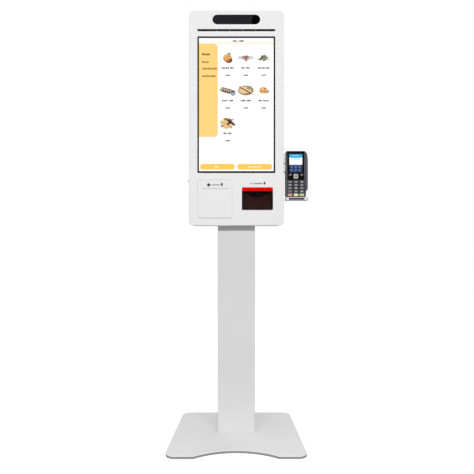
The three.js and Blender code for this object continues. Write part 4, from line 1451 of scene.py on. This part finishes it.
class KIOSK_OT_printer(bpy.types.Operator):
    """Makes the receipt printer: door, hinge pin, chassis, paper roll, platen, head and paper"""

    bl_idname = "kiosk.printer"
    bl_label = "Receipt printer"

    def execute(self, context):
        self.door()
        low, high = box_of("door_hinge_pin")
        pin = rod(low[0], high[0], 1.5, (0.2, 0.3), "X", middle_of("door_hinge_pin")[1:])
        piece("door_pin", pin, "steel", ["door_hinge_pin"])
        eased("printer_chassis", "steel", 0.25)
        eased("print_head", "dark plastic", 0.5)
        self.roll()
        self.platen()
        self.paper()
        self.labels()
        return {"FINISHED"}

    def door(self):
        """The door's plate with its paper slot, its two hinge lugs, the strike for the lock's cam, and
        the toothed bar that paper is torn on."""
        low, high = box_of("printer_door")
        front, back = low[1], low[1] + PANEL_THICK
        side_gap = 0.45
        left, right, _, top, corner = WINDOWS["door"]
        outline = rounded(left + side_gap, right - side_gap, low[2], top - side_gap, corner - 1, 8)
        slot_low, slot_high = 918.5, 919.5
        slot = rounded(-123, -28, slot_low, slot_high, 0.45, 4)
        edge, slot_edge = wall(back, front, high_edge=(0.3, 0.3)), wall(back, front, (0.1, 0.1))
        plate = slab(outline, edge, "Y", [slot], slot_edge)
        for start in (-128, -36):
            plate.join(hinge_lug(start, 12, back))
        plate.join(block((-130.8, back - 0.1, 922), (-128.8, high[1], 936)))
        plate.join(block((-135.8, high[1] - 3, 922), (-130.7, high[1], 936)))
        piece("receipt_door", plate, "white paint", ["printer_door"])
        pitch, depth = 5.4, 1.4
        across = np.arange(-123, -28 - pitch / 2, pitch / 2)
        teeth = np.column_stack((across, slot_high - 0.55 + depth * (np.arange(len(across)) % 2)))
        bar = np.vstack((teeth, [(across[-1], 926), (across[0], 926)]))
        steel_bar = slab(bar, [(0, back + 0.35), (0, back + 0.05)], "Y")
        piece("tear_bar", steel_bar, "steel", body="door")

    def roll(self):
        low, high = box_of("paper_roll")
        centre = middle_of("paper_roll")[1:]
        outer, core, bore = (high[1] - low[1]) / 2, 8.4, 6.4
        left, right = low[0], high[0]
        paper = [(core, left), (outer - 0.5, left), (outer, left + 0.5), (outer, right - 0.5)]
        paper += [(outer - 0.5, right), (core, right), (core, left)]
        piece("receipt_roll", turned(paper, "X", centre, 96), "roll paper", ["paper_roll"])
        tube = [(bore, left), (core, left), (core, right), (bore, right), (bore, left)]
        piece("roll_core", turned(tube, "X", centre, 64), "cardboard", body="roll")

    def platen(self):
        low, high = box_of("platen_roller")
        centre = middle_of("platen_roller")[1:]
        radius, shaft, left, right = (high[1] - low[1]) / 2, 2.0, -116, -35
        tyre = [(shaft, left), (radius - 0.4, left), (radius, left + 0.4), (radius, right - 0.4)]
        tyre += [(radius - 0.4, right), (shaft, right), (shaft, left)]
        piece("platen_tyre", turned(tyre, "X", centre, 64), "rubber", ["platen_roller"])
        bar = rod(low[0], high[0], shaft, (0.3, 0.3), "X", centre, 32)
        piece("platen_shaft", bar, "steel", body="platen")

    def paper(self):
        """Paper that leaves the roll along the line touching both roll and platen, wraps over the
        platen and runs forward to the slot in the door."""
        roll_low, roll_high = box_of("paper_roll")
        platen_low, platen_high = box_of("platen_roller")
        first, second = middle_of("paper_roll")[1:], middle_of("platen_roller")[1:]
        big = (roll_high[1] - roll_low[1]) / 2 + 0.1
        small = (platen_high[1] - platen_low[1]) / 2 + 0.1
        away = second - first
        distance = np.linalg.norm(away)
        lean = math.atan2(away[1], away[0]) - math.acos((big - small) / distance)
        wound = arc(first, big, lean - 0.5, lean, 6)
        over = arc(second, small, lean, math.pi / 2 + 0.02, 8)
        out = np.linspace(over[-1], (-96.2, over[-1][1] + 0.5), 6)[1:]
        path = np.vstack((wound, over, out))
        piece("paper_strip", strip(path, 79.0, 0.08, roll_low[0]), "paper")

    def labels(self):
        """A printer sign, a greeked line and an arrow on the door, all generic."""
        low, _ = box_of("printer_door")
        middle = 933.2
        sign = [
            rounded(-104.8, -93.2, middle - 3.2, middle + 1.9, 0.9, 3),
            rounded(-102.4, -95.6, middle + 2.3, middle + 4.9, 0.4, 2),
            rounded(-102.4, -95.6, middle - 5.9, middle - 3.6, 0.4, 2),
        ]
        print_marks("door_sign", sign, low[1], "black ink", "door")
        words = letter_bars(-89.6, middle, 5.0, 10)
        print_marks("door_word", words, low[1], "label ink", "door")
        arrow = [arrow_down(-51.8, middle, 4.6, 6.2)]
        print_marks("door_arrow", arrow, low[1], "black ink", "door")


# ---- Code scanner ----


class KIOSK_OT_scanner(bpy.types.Operator):
    """Makes the scanner's window, hood, light, scan module and its printed label"""

    bl_idname = "kiosk.scanner"
    bl_label = "Code scanner"

    def execute(self, context):
        left, right, bottom, top, corner = WINDOWS["scanner"]
        low, high = box_of("scanner_window")
        outline = rounded(low[0], high[0], low[2], high[2], corner - 0.35, 8)
        pane = slab(outline, wall(high[1], low[1], high_edge=(0.3, 0.3)), "Y")
        piece("scanner_glass_pane", pane, "scanner glass", ["scanner_window"])
        self.hood(left, right, bottom, top)
        low, high = box_of("scanner_light")
        lamp = block(low, high, 0.6)
        piece("scanner_light_bar", lamp, "red light", ["scanner_light"])
        eased("scanner_module", "black ink", 0.5)
        face = box_of("scanner_module")[0][1]
        eye = [(0, face), (5.2, face), (5.2, face - 0.2), (4.4, face - 0.2), (0, face - 0.05)]
        eye = turned(eye, "Y", middle_of("scanner_module")[[0, 2]])
        piece("scan_eye", eye, "camera glass")
        self.labels()
        return {"FINISHED"}

    def hood(self, left, right, bottom, top):
        """A box whose inside runs from a square mouth to a throat with a curved lower edge. Each loop
        has the same number of points on each side, so that the rings match."""
        low, high = box_of("scanner_hood")
        share = np.linspace(0, 1, 25)[:-1]

        def sides(l, r, b, t):
            corners = np.array([(l, b), (r, b), (r, t), (l, t)], float)
            after = np.roll(corners, -1, 0)
            return np.vstack([a + share[:, None] * (b2 - a) for a, b2 in zip(corners, after)])

        near, far, floor, ceiling = 31.0, 120.5, 893.6, 911.6
        throat = sides(near, far, floor, ceiling)
        middle, half = (near + far) / 2, (far - near) / 2
        lift = (ceiling - floor) * np.abs((throat[:, 0] - middle) / half) ** 3
        throat[:, 1] = np.minimum(throat[:, 1] + lift, ceiling)
        mouth = sides(left, right, bottom, top)
        outer = sides(low[0], high[0], low[2], high[2])
        levels = [(outer, high[1]), (outer, low[1]), (mouth, low[1])]
        levels += [(mouth, low[1] + 9.6), (throat, high[1])]
        rings = np.stack([placed("Y", loop, level) for loop, level in levels])
        solid = Solid().band(np.concatenate((rings, rings[:1])))
        piece("scanner_hood_funnel", solid, "maroon plastic", ["scanner_hood"])

    def labels(self):
        """A code sign made of bars, a greeked word and an arrow, all generic."""
        level = box_of("front_panel")[0][1]
        middle = 937.4
        strokes = zip((50, 52, 54, 56), (1.2, 0.6, 1.2, 0.7))
        code = [rounded(x, x + wide, middle - 3, middle + 3, 0.2, 1) for x, wide in strokes]
        words = letter_bars(61.0, middle, 4.8, 11)
        print_marks("scanner_sign", code + words, level, "label ink")
        arrow = [arrow_down(101, middle + 0.4, 4.4, 5.4)]
        print_marks("scanner_arrow", arrow, level, "black ink")


# ---- Lock ----


class KIOSK_OT_lock(bpy.types.Operator):
    """Makes the cam lock: its body and nut on the side wall, and the cylinder with the cam"""

    bl_idname = "kiosk.lock"
    bl_label = "Cam lock"

    def execute(self, context):
        low, high = box_of("lock_body")
        wall_face = box_of("rear_housing")[0][0]
        bore, barrel, flange = 4.6, 6.0, 8.0
        turn = np.linspace(0, math.pi / 2, 6)
        rim = [(flange - 1.2 * (1 - math.sin(t)), low[0] + 1.2 * (1 - math.cos(t))) for t in turn]
        thread = []
        for x in np.arange(wall_face + 3, high[0] - 1, 1.0):
            thread += [(barrel, x), (barrel - 0.45, x + 0.5)]
        body = [(bore, low[0]), *rim, (flange, wall_face - 0.3), (barrel, wall_face - 0.3), *thread]
        body += [(barrel, high[0]), (bore, high[0]), (bore, low[0])]
        made = turned(body, "X", LOCK_CENTRE, 64)
        nut = slab(
            ring(*LOCK_CENTRE, 9.5, 6),
            wall(wall_face + 2.3, wall_face + 6, (0.4, 0.4), (0.4, 0.4), 2),
            "X",
            [ring(*LOCK_CENTRE, 6.1, 48)],
            [(0, wall_face + 2.3), (0, wall_face + 6)],
        )
        piece("lock_barrel", made, "chrome", ["lock_body"])
        piece("lock_nut", nut, "zinc")
        self.cylinder()
        return {"FINISHED"}

    def cylinder(self):
        low, high = box_of("lock_cylinder")
        plug, cam = 4.4, high[0] - 2
        core = [(0, low[0]), (plug - 0.5, low[0]), (plug, low[0] + 0.5), (plug, high[0]), (0, high[0])]
        made = turned(core, "X", LOCK_CENTRE).build("lock_plug")
        y, z = LOCK_CENTRE
        keyway = rounded(y - 2.6, y + 2.6, z - 0.6, z + 0.6, 0.5, 3)
        cut_away(made, [slab(keyway, [(0, low[0] - 1), (0, low[0] + 6)], "X")])
        upright = math.pi / 2
        far_end = arc((y - 20, z), 4, upright, 3 * upright, 10)
        near_end = arc((y + 1, z), 4, -upright, upright, 10)
        arm = slab(np.vstack((far_end, near_end)), [(0, cam), (0, high[0])], "X")
        cut_away(made, [arm], "UNION")
        settle(made, "chrome", ["lock_cylinder"], ease=0.15)


# ---- Payment terminal ----

KEY_COLUMNS = (192.5, 214.0, 235.0)
KEY_ROWS = (943.5, 932.0, 920.5, 909.0)
COLOUR_ROW = 896.5
FRONT_FACES = ("1", "2", "3", "4", "5", "6", "7", "8", "9", "star", "0", "hash")
PRINTED = {"star": "*", "hash": "#"}


def terminal_keys():
    """Every key as (name, x, z, half width, half height, corner, finish)."""
    keys = [
        ("menu_left", 194.0, 968.7, 5.2, 3.5, 2.5, "menu_key"),
        ("menu_right", 233.7, 968.7, 5.2, 3.5, 2.5, "menu_key"),
        ("centre", 213.7, 963.4, 7.9, 8.3, 1.5, "key_light"),
    ]
    for index, face in enumerate(FRONT_FACES):
        keys.append((face, KEY_COLUMNS[index % 3], KEY_ROWS[index // 3], 7.6, 4.1, 1.6, "key_grey"))
    names = (("cancel", "key_red"), ("clear", "key_yellow"), ("enter", "key_green"))
    for x, (name, slot) in zip(KEY_COLUMNS, names):
        keys.append((name, x, COLOUR_ROW, 8.0, 4.6, 1.6, slot))
    return keys


def key_outline(key, grow, steps=4):
    _, x, z, wide, tall, corner, _ = key
    return rounded(x - wide - grow, x + wide + grow, z - tall - grow, z + tall + grow, corner + grow, steps)


LENS = (182.6, 243.7, 950, 1051.2)
GROOVE = (249.6, 251.4)
RAIL_FRONT = -97.0


class KIOSK_OT_terminal_shells(bpy.types.Operator):
    """Makes the payment terminal's front and rear shells, and the rail of its swipe groove"""

    bl_idname = "kiosk.terminal_shells"
    bl_label = "Terminal shells"

    def execute(self, context):
        self.front()
        self.rail()
        self.rear()
        return {"FINISHED"}

    def front(self):
        low, high = box_of("terminal_front_shell")
        edge = sizes().terminal_edge / MM
        front, split = low[1], high[1]
        outline = rounded(low[0], GROOVE[0], low[2], high[2], 7, 10)
        profile = wall(split, front, (0.4, 0.4), (edge, edge * 0.8), 8)
        made = slab(outline, profile, "Y").build("terminal_front")
        through = [(0, front - 1), (0, front + 4)]
        openings = slab(rounded(187.5, 238.5, 977.5, 1045.5, 0.8, 2), through, "Y")
        for key in terminal_keys():
            openings.join(slab(key_outline(key, 0.35, 3), through, "Y"))
        cutters = [
            slab(rounded(low[0] + 3, 247.2, 890.5, 1051.6, 4, 4), [(0, front + 3), (0, split + 1)], "Y"),
            slab(rounded(*LENS, 2.5, 5), [(0, front - 1), (0, front + 2.2)], "Y"),
            openings,
        ]
        cut_away(made, cutters)
        settle(made, "terminal grey", ["terminal_front_shell"])

    def rail(self):
        """The outer wall of the swipe groove, with drawn-in ends, and the groove's floor."""
        low, high = box_of("terminal_front_shell")
        bottom, top, reach = 912.5, 1049.0, high[0]
        left = GROOVE[1]
        outline = np.vstack(
            (
                [(left, bottom), (left + 2.0, bottom)],
                arc((reach - 3, bottom + 7), 3, -0.55, 0, 4),
                arc((reach - 3, top - 24), 3, 0, 0.3, 4),
                [(left + 1.6, top), (left, top)],
            )
        )
        made = slab(outline, wall(high[1], RAIL_FRONT, (0.3, 0.3), (0.8, 0.8), 4), "Y")
        made.join(block((GROOVE[0] - 0.1, -88.0, low[2] + 6), (left + 0.1, high[1], top), 0.05))
        piece("terminal_rail", made, "rail plastic")

    def rear(self):
        low, high = box_of("terminal_rear_shell")
        left, right = low[0], 252.0
        profile = wall(low[1], high[1], (0.4, 0.4), (3.0, 3.0), 6)
        made = slab(rounded(left, right, low[2], high[2], 7, 10), profile, "Y").build("terminal_rear")
        inside = rounded(left + 3, 249.0, 891.4, 1051.0, 4, 4)
        cut_away(made, [slab(inside, [(0, low[1] - 1), (0, high[1] - 3)], "Y")])
        settle(made, "terminal grey", ["terminal_rear_shell"])


class KIOSK_OT_terminal_face(bpy.types.Operator):
    """Makes the terminal's lens, its black mask, the board and the lit display"""

    bl_idname = "kiosk.terminal_face"
    bl_label = "Terminal display"

    def execute(self, context):
        low, high = box_of("terminal_lens")
        left, right, bottom, top = LENS
        fit = 0.25
        keys = [key for key in terminal_keys() if key[2] > bottom]
        outline = rounded(left + fit, right - fit, bottom + fit, top - fit, 2.2, 5)
        holes = [key_outline(key, 0.35) for key in keys]
        rim = wall(high[1], low[1], (0.1, 0.1), (0.3, 0.3))
        lens = slab(outline, rim, "Y", holes, wall(high[1], low[1], (0.1, 0.1), (0.2, 0.2)))
        piece("terminal_lens_pane", lens, "terminal glass", ["terminal_lens"])
        display = (190.3, 236.6, 978.0, 1043.4)
        levels = [(0, high[1] + 0.05), (0, high[1] + 0.25)]
        mask_profile = [(0.2, level) for _, level in levels]
        window = rounded(*display, 0.8, 3)
        mask = slab(outline, mask_profile, "Y", holes + [window], levels)
        piece("terminal_mask", mask, "black ink")
        self.keypad_gap_shade()
        eased("terminal_board", "circuit board", 0.15)
        face = box_of("terminal_board")[0][1]
        picture_piece("terminal_picture", self.picture(display, face - 0.01))
        return {"FINISHED"}

    def keypad_gap_shade(self):
        """A dark film round the number keys and the three coloured keys: painted shade in the gaps between
        them.
        """
        front = box_of("terminal_front_shell")[0][1]
        left, right, bottom, _ = LENS
        outline = rounded(left + 0.4, right + 2, 890.6, bottom - 0.2, 2, 4)
        holes = [key_outline(key, 0.4) for key in terminal_keys() if key[2] < bottom]
        levels = [(0, front + 0.03), (0, front - 0.05)]
        panel = slab(outline, levels, "Y", holes, levels)
        piece("keypad_gap_shade", panel, "keypad ink")

    def picture(self, display, level):
        """A status bar, a message area and six menu tiles."""
        left, right, bottom, top = display
        sheet = Picture(level)
        bar, tiles = top - 10.4, bottom + 27.2
        middle, half = (left + right) / 2, (right - left) / 2
        sheet.shade(left, right, tiles, top, WHITE, WHITE, 0)
        sheet.shade(left, right, bottom, tiles, (22, 40, 84), (26, 44, 96), 0)
        across = np.linspace(-1, 1, 25)
        bands = ((3.4, (206, 240, 248)), (1.6, (104, 202, 228)), (0.0, (44, 172, 224)))
        for layer, (drop, inks) in enumerate(bands, 1):
            curve = np.column_stack((middle + half * across, bar - drop - 2.6 * (1 - across**2)))
            sheet.shape(np.vstack((curve, [(right, top), (left, top)])), inks, layer)
        sheet.shade(left + 8, right - 8, top - 5.4, top, (60, 170, 226), (34, 112, 196), 4)
        sheet.word(left + 12, top - 4.4, 3.4, 11, (206, 238, 250), 5)
        sheet.word(left + 5, bar - 8.6, 2.4, 22, (148, 150, 158), 2)
        sheet.word(left + 13, bar - 13.4, 2.2, 15, (208, 210, 216), 2)
        for row in range(2):
            for column in range(3):
                x = left + 1.8 + 14.5 * column
                z = tiles - 12.2 - 12.4 * row
                ink = (40, 58, 140) if column == 1 else (34, 66, 100)
                sheet.shape(rounded(x, x + 13.2, z, z + 9.8, 1.2, 3), ink, 1)
                sheet.shape(rounded(x + 4.2, x + 9.0, z + 4.0, z + 8.2, 1.0, 3), (104, 134, 178), 2)
                sheet.word(x + 3.2, z + 1.9, 1.6, 7, (120, 146, 186), 2)
        return sheet


class KIOSK_OT_terminal_keys(bpy.types.Operator):
    """Makes the terminal's eighteen crowned keys and their printed faces"""

    bl_idname = "kiosk.terminal_keys"
    bl_label = "Terminal keys"

    def execute(self, context):
        for key in terminal_keys():
            self.cap(key)
        return {"FINISHED"}

    def cap(self, key):
        """A key on its flange. Its face rises as a quarter ellipse from its edge to a flat middle."""
        name, x, z, wide, tall, corner, slot = key
        node = "terminal_key_" + name
        low, high = box_of(node)
        front, back, flange = low[1], high[1], 0.8
        crown = sizes().key_crown / MM
        turn = np.linspace(0, math.pi / 2, 9)
        reach = min(wide, tall) * 0.55
        dome = np.column_stack((reach * (1 - np.cos(turn)), front + crown * (1 - np.sin(turn))))
        profile = [(-flange, back), (-flange, back - 1.0), (0, back - 1.0), (0, front + crown), *dome]
        solid = crowned((x - wide, x + wide, z - tall, z + tall), corner, profile, "Y")
        piece("key_cap_" + name, solid, slot, [node])
        self.legend(key, front)

    def legend(self, key, front):
        """The printed face of a key: a figure, or a simple sign."""
        name, x, z = key[:3]
        body = body_of("terminal_key_" + name)
        if name in FRONT_FACES:
            flat, faces = typeset(PRINTED.get(name, name), 3.0 if name == "star" else 4.6)
            figure = Solid().add(placed("Y", flat + np.array((x, z)), front - 0.02), faces)
            made = new_object("key_figure_" + name, self.film(figure, "key_figure_" + name))
            settle(made, "pale ink", body=body)
            return
        dash = [rounded(x - 2.4, x + 2.4, z - 0.5, z + 0.5, 0.4, 2)]
        signs = {
            "menu_left": dash,
            "menu_right": dash,
            "centre": [rounded(x - 3.9, x + 3.9, z - 3.9, z + 3.9, 1.1, 4)],
            "cancel": [self.bar(x, z, 0.785), self.bar(x, z, -0.785)],
            "clear": [self.bar(x - 0.9, z + 0.7, 0.785, 1.5), self.bar(x - 0.9, z - 0.7, -0.785, 1.5)],
            "enter": [ring(x, z, 1.9, 20)],
        }
        ink = "bar rib" if name in ("centre", "menu_left", "menu_right") else "label ink"
        print_marks("key_sign_" + name, signs[name], front, ink, body, 0.03)

    def film(self, solid, name):
        """A flat figure given a thin wall."""
        mesh = bpy.data.meshes.new(name)
        mesh.from_pydata((np.vstack(solid.points) * MM).tolist(), [], solid.faces)
        turn_to_front(mesh)
        made = new_object("film", mesh)
        thicken(made, 0.03)
        bpy.context.view_layer.update()
        result = evaluated_mesh(made)
        bpy.data.objects.remove(made)
        return result

    def bar(self, x, z, turn, half=2.2):
        """A short stroke through a point at an angle."""
        return rotated(rounded(-half, half, -0.35, 0.35, 0.3, 2), turn) + (x, z)


class KIOSK_OT_terminal_holder(bpy.types.Operator):
    """Makes the terminal's cradle with its card slot, and the bracket that joins it to the head"""

    bl_idname = "kiosk.terminal_holder"
    bl_label = "Terminal cradle"

    def execute(self, context):
        self.cradle()
        self.bracket()
        return {"FINISHED"}

    def cradle(self):
        """A lip with rounded corners and a card slot in its front, and the back rest that rises from
        it. The slot is closed a little way in by a dark brush strip."""
        low, high = box_of("terminal_cradle")
        lip_top = 888.1
        outline = rounded(low[0], high[0], low[1], high[1], 5, 8)
        made = slab(outline, wall(low[2], lip_top, (1.8, 1.6), (1.2, 1.2), 5), "Z").build("cradle")
        slot = rounded(188.5, 243.4, 879.4, 885.6, 1.2, 4)
        rest = rounded(182, 248, low[2] + 4, high[2], 4, 5)
        cut_away(made, [slab(slot, [(-0.6, low[1] - 0.1), (0, low[1] + 0.5), (0, high[1] - 3.3)], "Y")])
        cut_away(made, [slab(rest, wall(high[1], high[1] - 3, (0.8, 0.8), (0.3, 0.3)), "Y")], "UNION")
        settle(made, "cradle grey", ["terminal_cradle"])
        brush = block((188.7, low[1] + 3.2, 879.5), (243.2, low[1] + 5.2, 885.5), 0.3)
        piece("card_slot_brush", brush, "slot dark")

    def bracket(self):
        """A plate behind the terminal, a leg beside the head, and the leg's front lip with its slot."""
        low, high = box_of("terminal_bracket")
        thick, lip = 2.5, 6.2
        plate = rounded(low[0], high[0], low[2], high[2], 3, 5)
        oblong = rounded(174.5, 181.0, 1001.6, 1012.0, 3.2, 8)
        face = high[1] - thick
        profile = wall(face, high[1], (0.4, 0.4), (0.4, 0.4))
        made = slab(plate, profile, "Y", [oblong], wall(face, high[1])).build("bracket")
        front = low[1] - 2.2
        leg = block((low[0], front + 0.4, low[2]), (low[0] + thick, face + 0.2, high[2]), 0.2)
        lip_outline = rounded(low[0], low[0] + lip, low[2], high[2], 1.2, 4)
        lip_solid = slab(lip_outline, wall(front + 2.2, front, (0.3, 0.3), (0.4, 0.4)), "Y")
        cut_away(made, [leg, lip_solid], "UNION")
        window = rounded(low[0] + 1.4, low[0] + 5.0, 1001.6, 1012.0, 1.6, 5)
        cut_away(made, [slab(window, [(0, front - 1), (0, face - 0.5)], "Y")])
        settle(made, "bracket paint", ["terminal_bracket"])


# ---- Stage ----


class KIOSK_OT_stage(bpy.types.Operator):
    """Makes the floor, the lights, the white surroundings and the camera"""

    bl_idname = "kiosk.stage"
    bl_label = "Studio and camera"

    def execute(self, context):
        scene = context.scene
        scene.view_settings.view_transform = "Standard"
        self.surroundings(scene)
        self.floor()
        self.lamp("front_light", (0, -3.0, 1.34), (0, 0, 1.12), (0.7, 0.12), 25)
        for name, x in (("left_light", -1.25), ("right_light", 1.25)):
            self.lamp(name, (x, -2.75, 1.29), (0, 0, 1.1), (0.3, 0.12), 12)
        self.lamp("top_light", (0, -0.5, 4.0), (0, 0, 0), (2.2, 2.2), 45)
        self.lamp("rear_light", (0.6, 3.2, 1.9), (0, 0, 0.8), (1.6, 1.2), 24)
        self.camera(scene)
        return {"FINISHED"}

    def surroundings(self, scene):
        """White behind the object, and softer white light all round it."""
        world = bpy.data.worlds.new("white_surroundings")
        scene.world = world
        world.use_nodes = True
        tree = world.node_tree
        tree.nodes.clear()
        seen = put(tree, "ShaderNodeBackground", {"Color": (1, 1, 1, 1), "Strength": 1.0})
        given = put(tree, "ShaderNodeBackground", {"Color": (1, 1, 1, 1), "Strength": 0.38})
        path = put(tree, "ShaderNodeLightPath")
        sockets = {0: path.outputs["Is Camera Ray"], 1: given.outputs[0], 2: seen.outputs[0]}
        both = put(tree, "ShaderNodeMixShader", sockets)
        put(tree, "ShaderNodeOutputWorld", {"Surface": both.outputs[0]})

    def floor(self):
        half, level = 12.0, -0.5 * MM
        mesh = bpy.data.meshes.new("studio_floor")
        corners = [(-half, -half), (half, -half), (half, half), (-half, half)]
        mesh.from_pydata([(x, y, level) for x, y in corners], [], [(0, 1, 2, 3)])
        material, tree, shader = blank("studio floor")
        grain = group_node(tree, surface_grain, {"Vector": object_point(tree), "Fine Scale": 400.0})
        tone = mixed(tree, grain["Tone"], (0.2, 0.2, 0.2, 1), (0.22, 0.22, 0.22, 1))
        seen = put(tree, "ShaderNodeLightPath").outputs["Is Camera Ray"]
        sockets = {
            "Base Color": tone,
            "Emission Strength": between(tree, seen, 0.0, 1.0, 0.14, 0.92),
            "Emission Color": (1, 1, 1, 1),
            "Roughness": 0.9,
            "Specular IOR Level": 0.0,
        }
        feed(tree, shader, sockets)
        mesh.materials.append(material)
        new_object("studio_floor", mesh)

    def lamp(self, name, place, target, size, power):
        """A rectangular soft light aimed at a point. It isn't mirrored, or seen through glass."""
        data = bpy.data.lights.new(name, "AREA")
        data.shape = "RECTANGLE"
        data.size, data.size_y = size
        data.energy = power
        made = new_object(name, data)
        made.location = place
        made.rotation_euler = (Vector(target) - Vector(place)).to_track_quat("-Z", "Y").to_euler()
        made.visible_glossy = False
        made.visible_transmission = False

    def camera(self, scene):
        data = bpy.data.cameras.new("camera")
        data.sensor_width = 36
        data.lens = 37.72
        made = new_object("camera", data)
        made.location = (0.0025, -1.880, 0.7458)
        made.rotation_euler = (math.pi / 2, 0, 0)
        scene.camera = made


# ---- Add-on ----

OPERATORS = (
    KIOSK_OT_base,
    KIOSK_OT_column,
    KIOSK_OT_power_entry,
    KIOSK_OT_head_shell,
    KIOSK_OT_windows,
    KIOSK_OT_screen,
    KIOSK_OT_electronics,
    KIOSK_OT_printer,
    KIOSK_OT_scanner,
    KIOSK_OT_lock,
    KIOSK_OT_terminal_shells,
    KIOSK_OT_terminal_face,
    KIOSK_OT_terminal_keys,
    KIOSK_OT_terminal_holder,
    KIOSK_OT_stage,
)


class KIOSK_PT_panel(bpy.types.Panel):
    """Lists the kiosk's sizes, colours and operators"""

    bl_label = "Self checkout kiosk"
    bl_idname = "KIOSK_PT_panel"
    bl_space_type = "VIEW_3D"
    bl_region_type = "UI"
    bl_category = "Kiosk"

    def draw(self, context):
        layout = self.layout
        for group in (context.scene.kiosk_sizes, context.scene.kiosk_colours):
            column = layout.column()
            for name in group.bl_rna.properties.keys():
                if name not in ("rna_type", "name"):
                    column.prop(group, name)
        for operator in OPERATORS:
            layout.operator(operator.bl_idname)


CLASSES = (KioskSizes, KioskColours, *OPERATORS, KIOSK_PT_panel)


def register():
    for made in CLASSES:
        bpy.utils.register_class(made)
    bpy.types.Scene.kiosk_sizes = bpy.props.PointerProperty(type=KioskSizes)
    bpy.types.Scene.kiosk_colours = bpy.props.PointerProperty(type=KioskColours)


def unregister():
    del bpy.types.Scene.kiosk_colours
    del bpy.types.Scene.kiosk_sizes
    for made in reversed(CLASSES):
        bpy.utils.unregister_class(made)


def build_kiosk():
    register()
    for operator in OPERATORS:
        group, name = operator.bl_idname.split(".")
        getattr(getattr(bpy.ops, group), name)()


if __name__ == "__main__":
    build_kiosk()
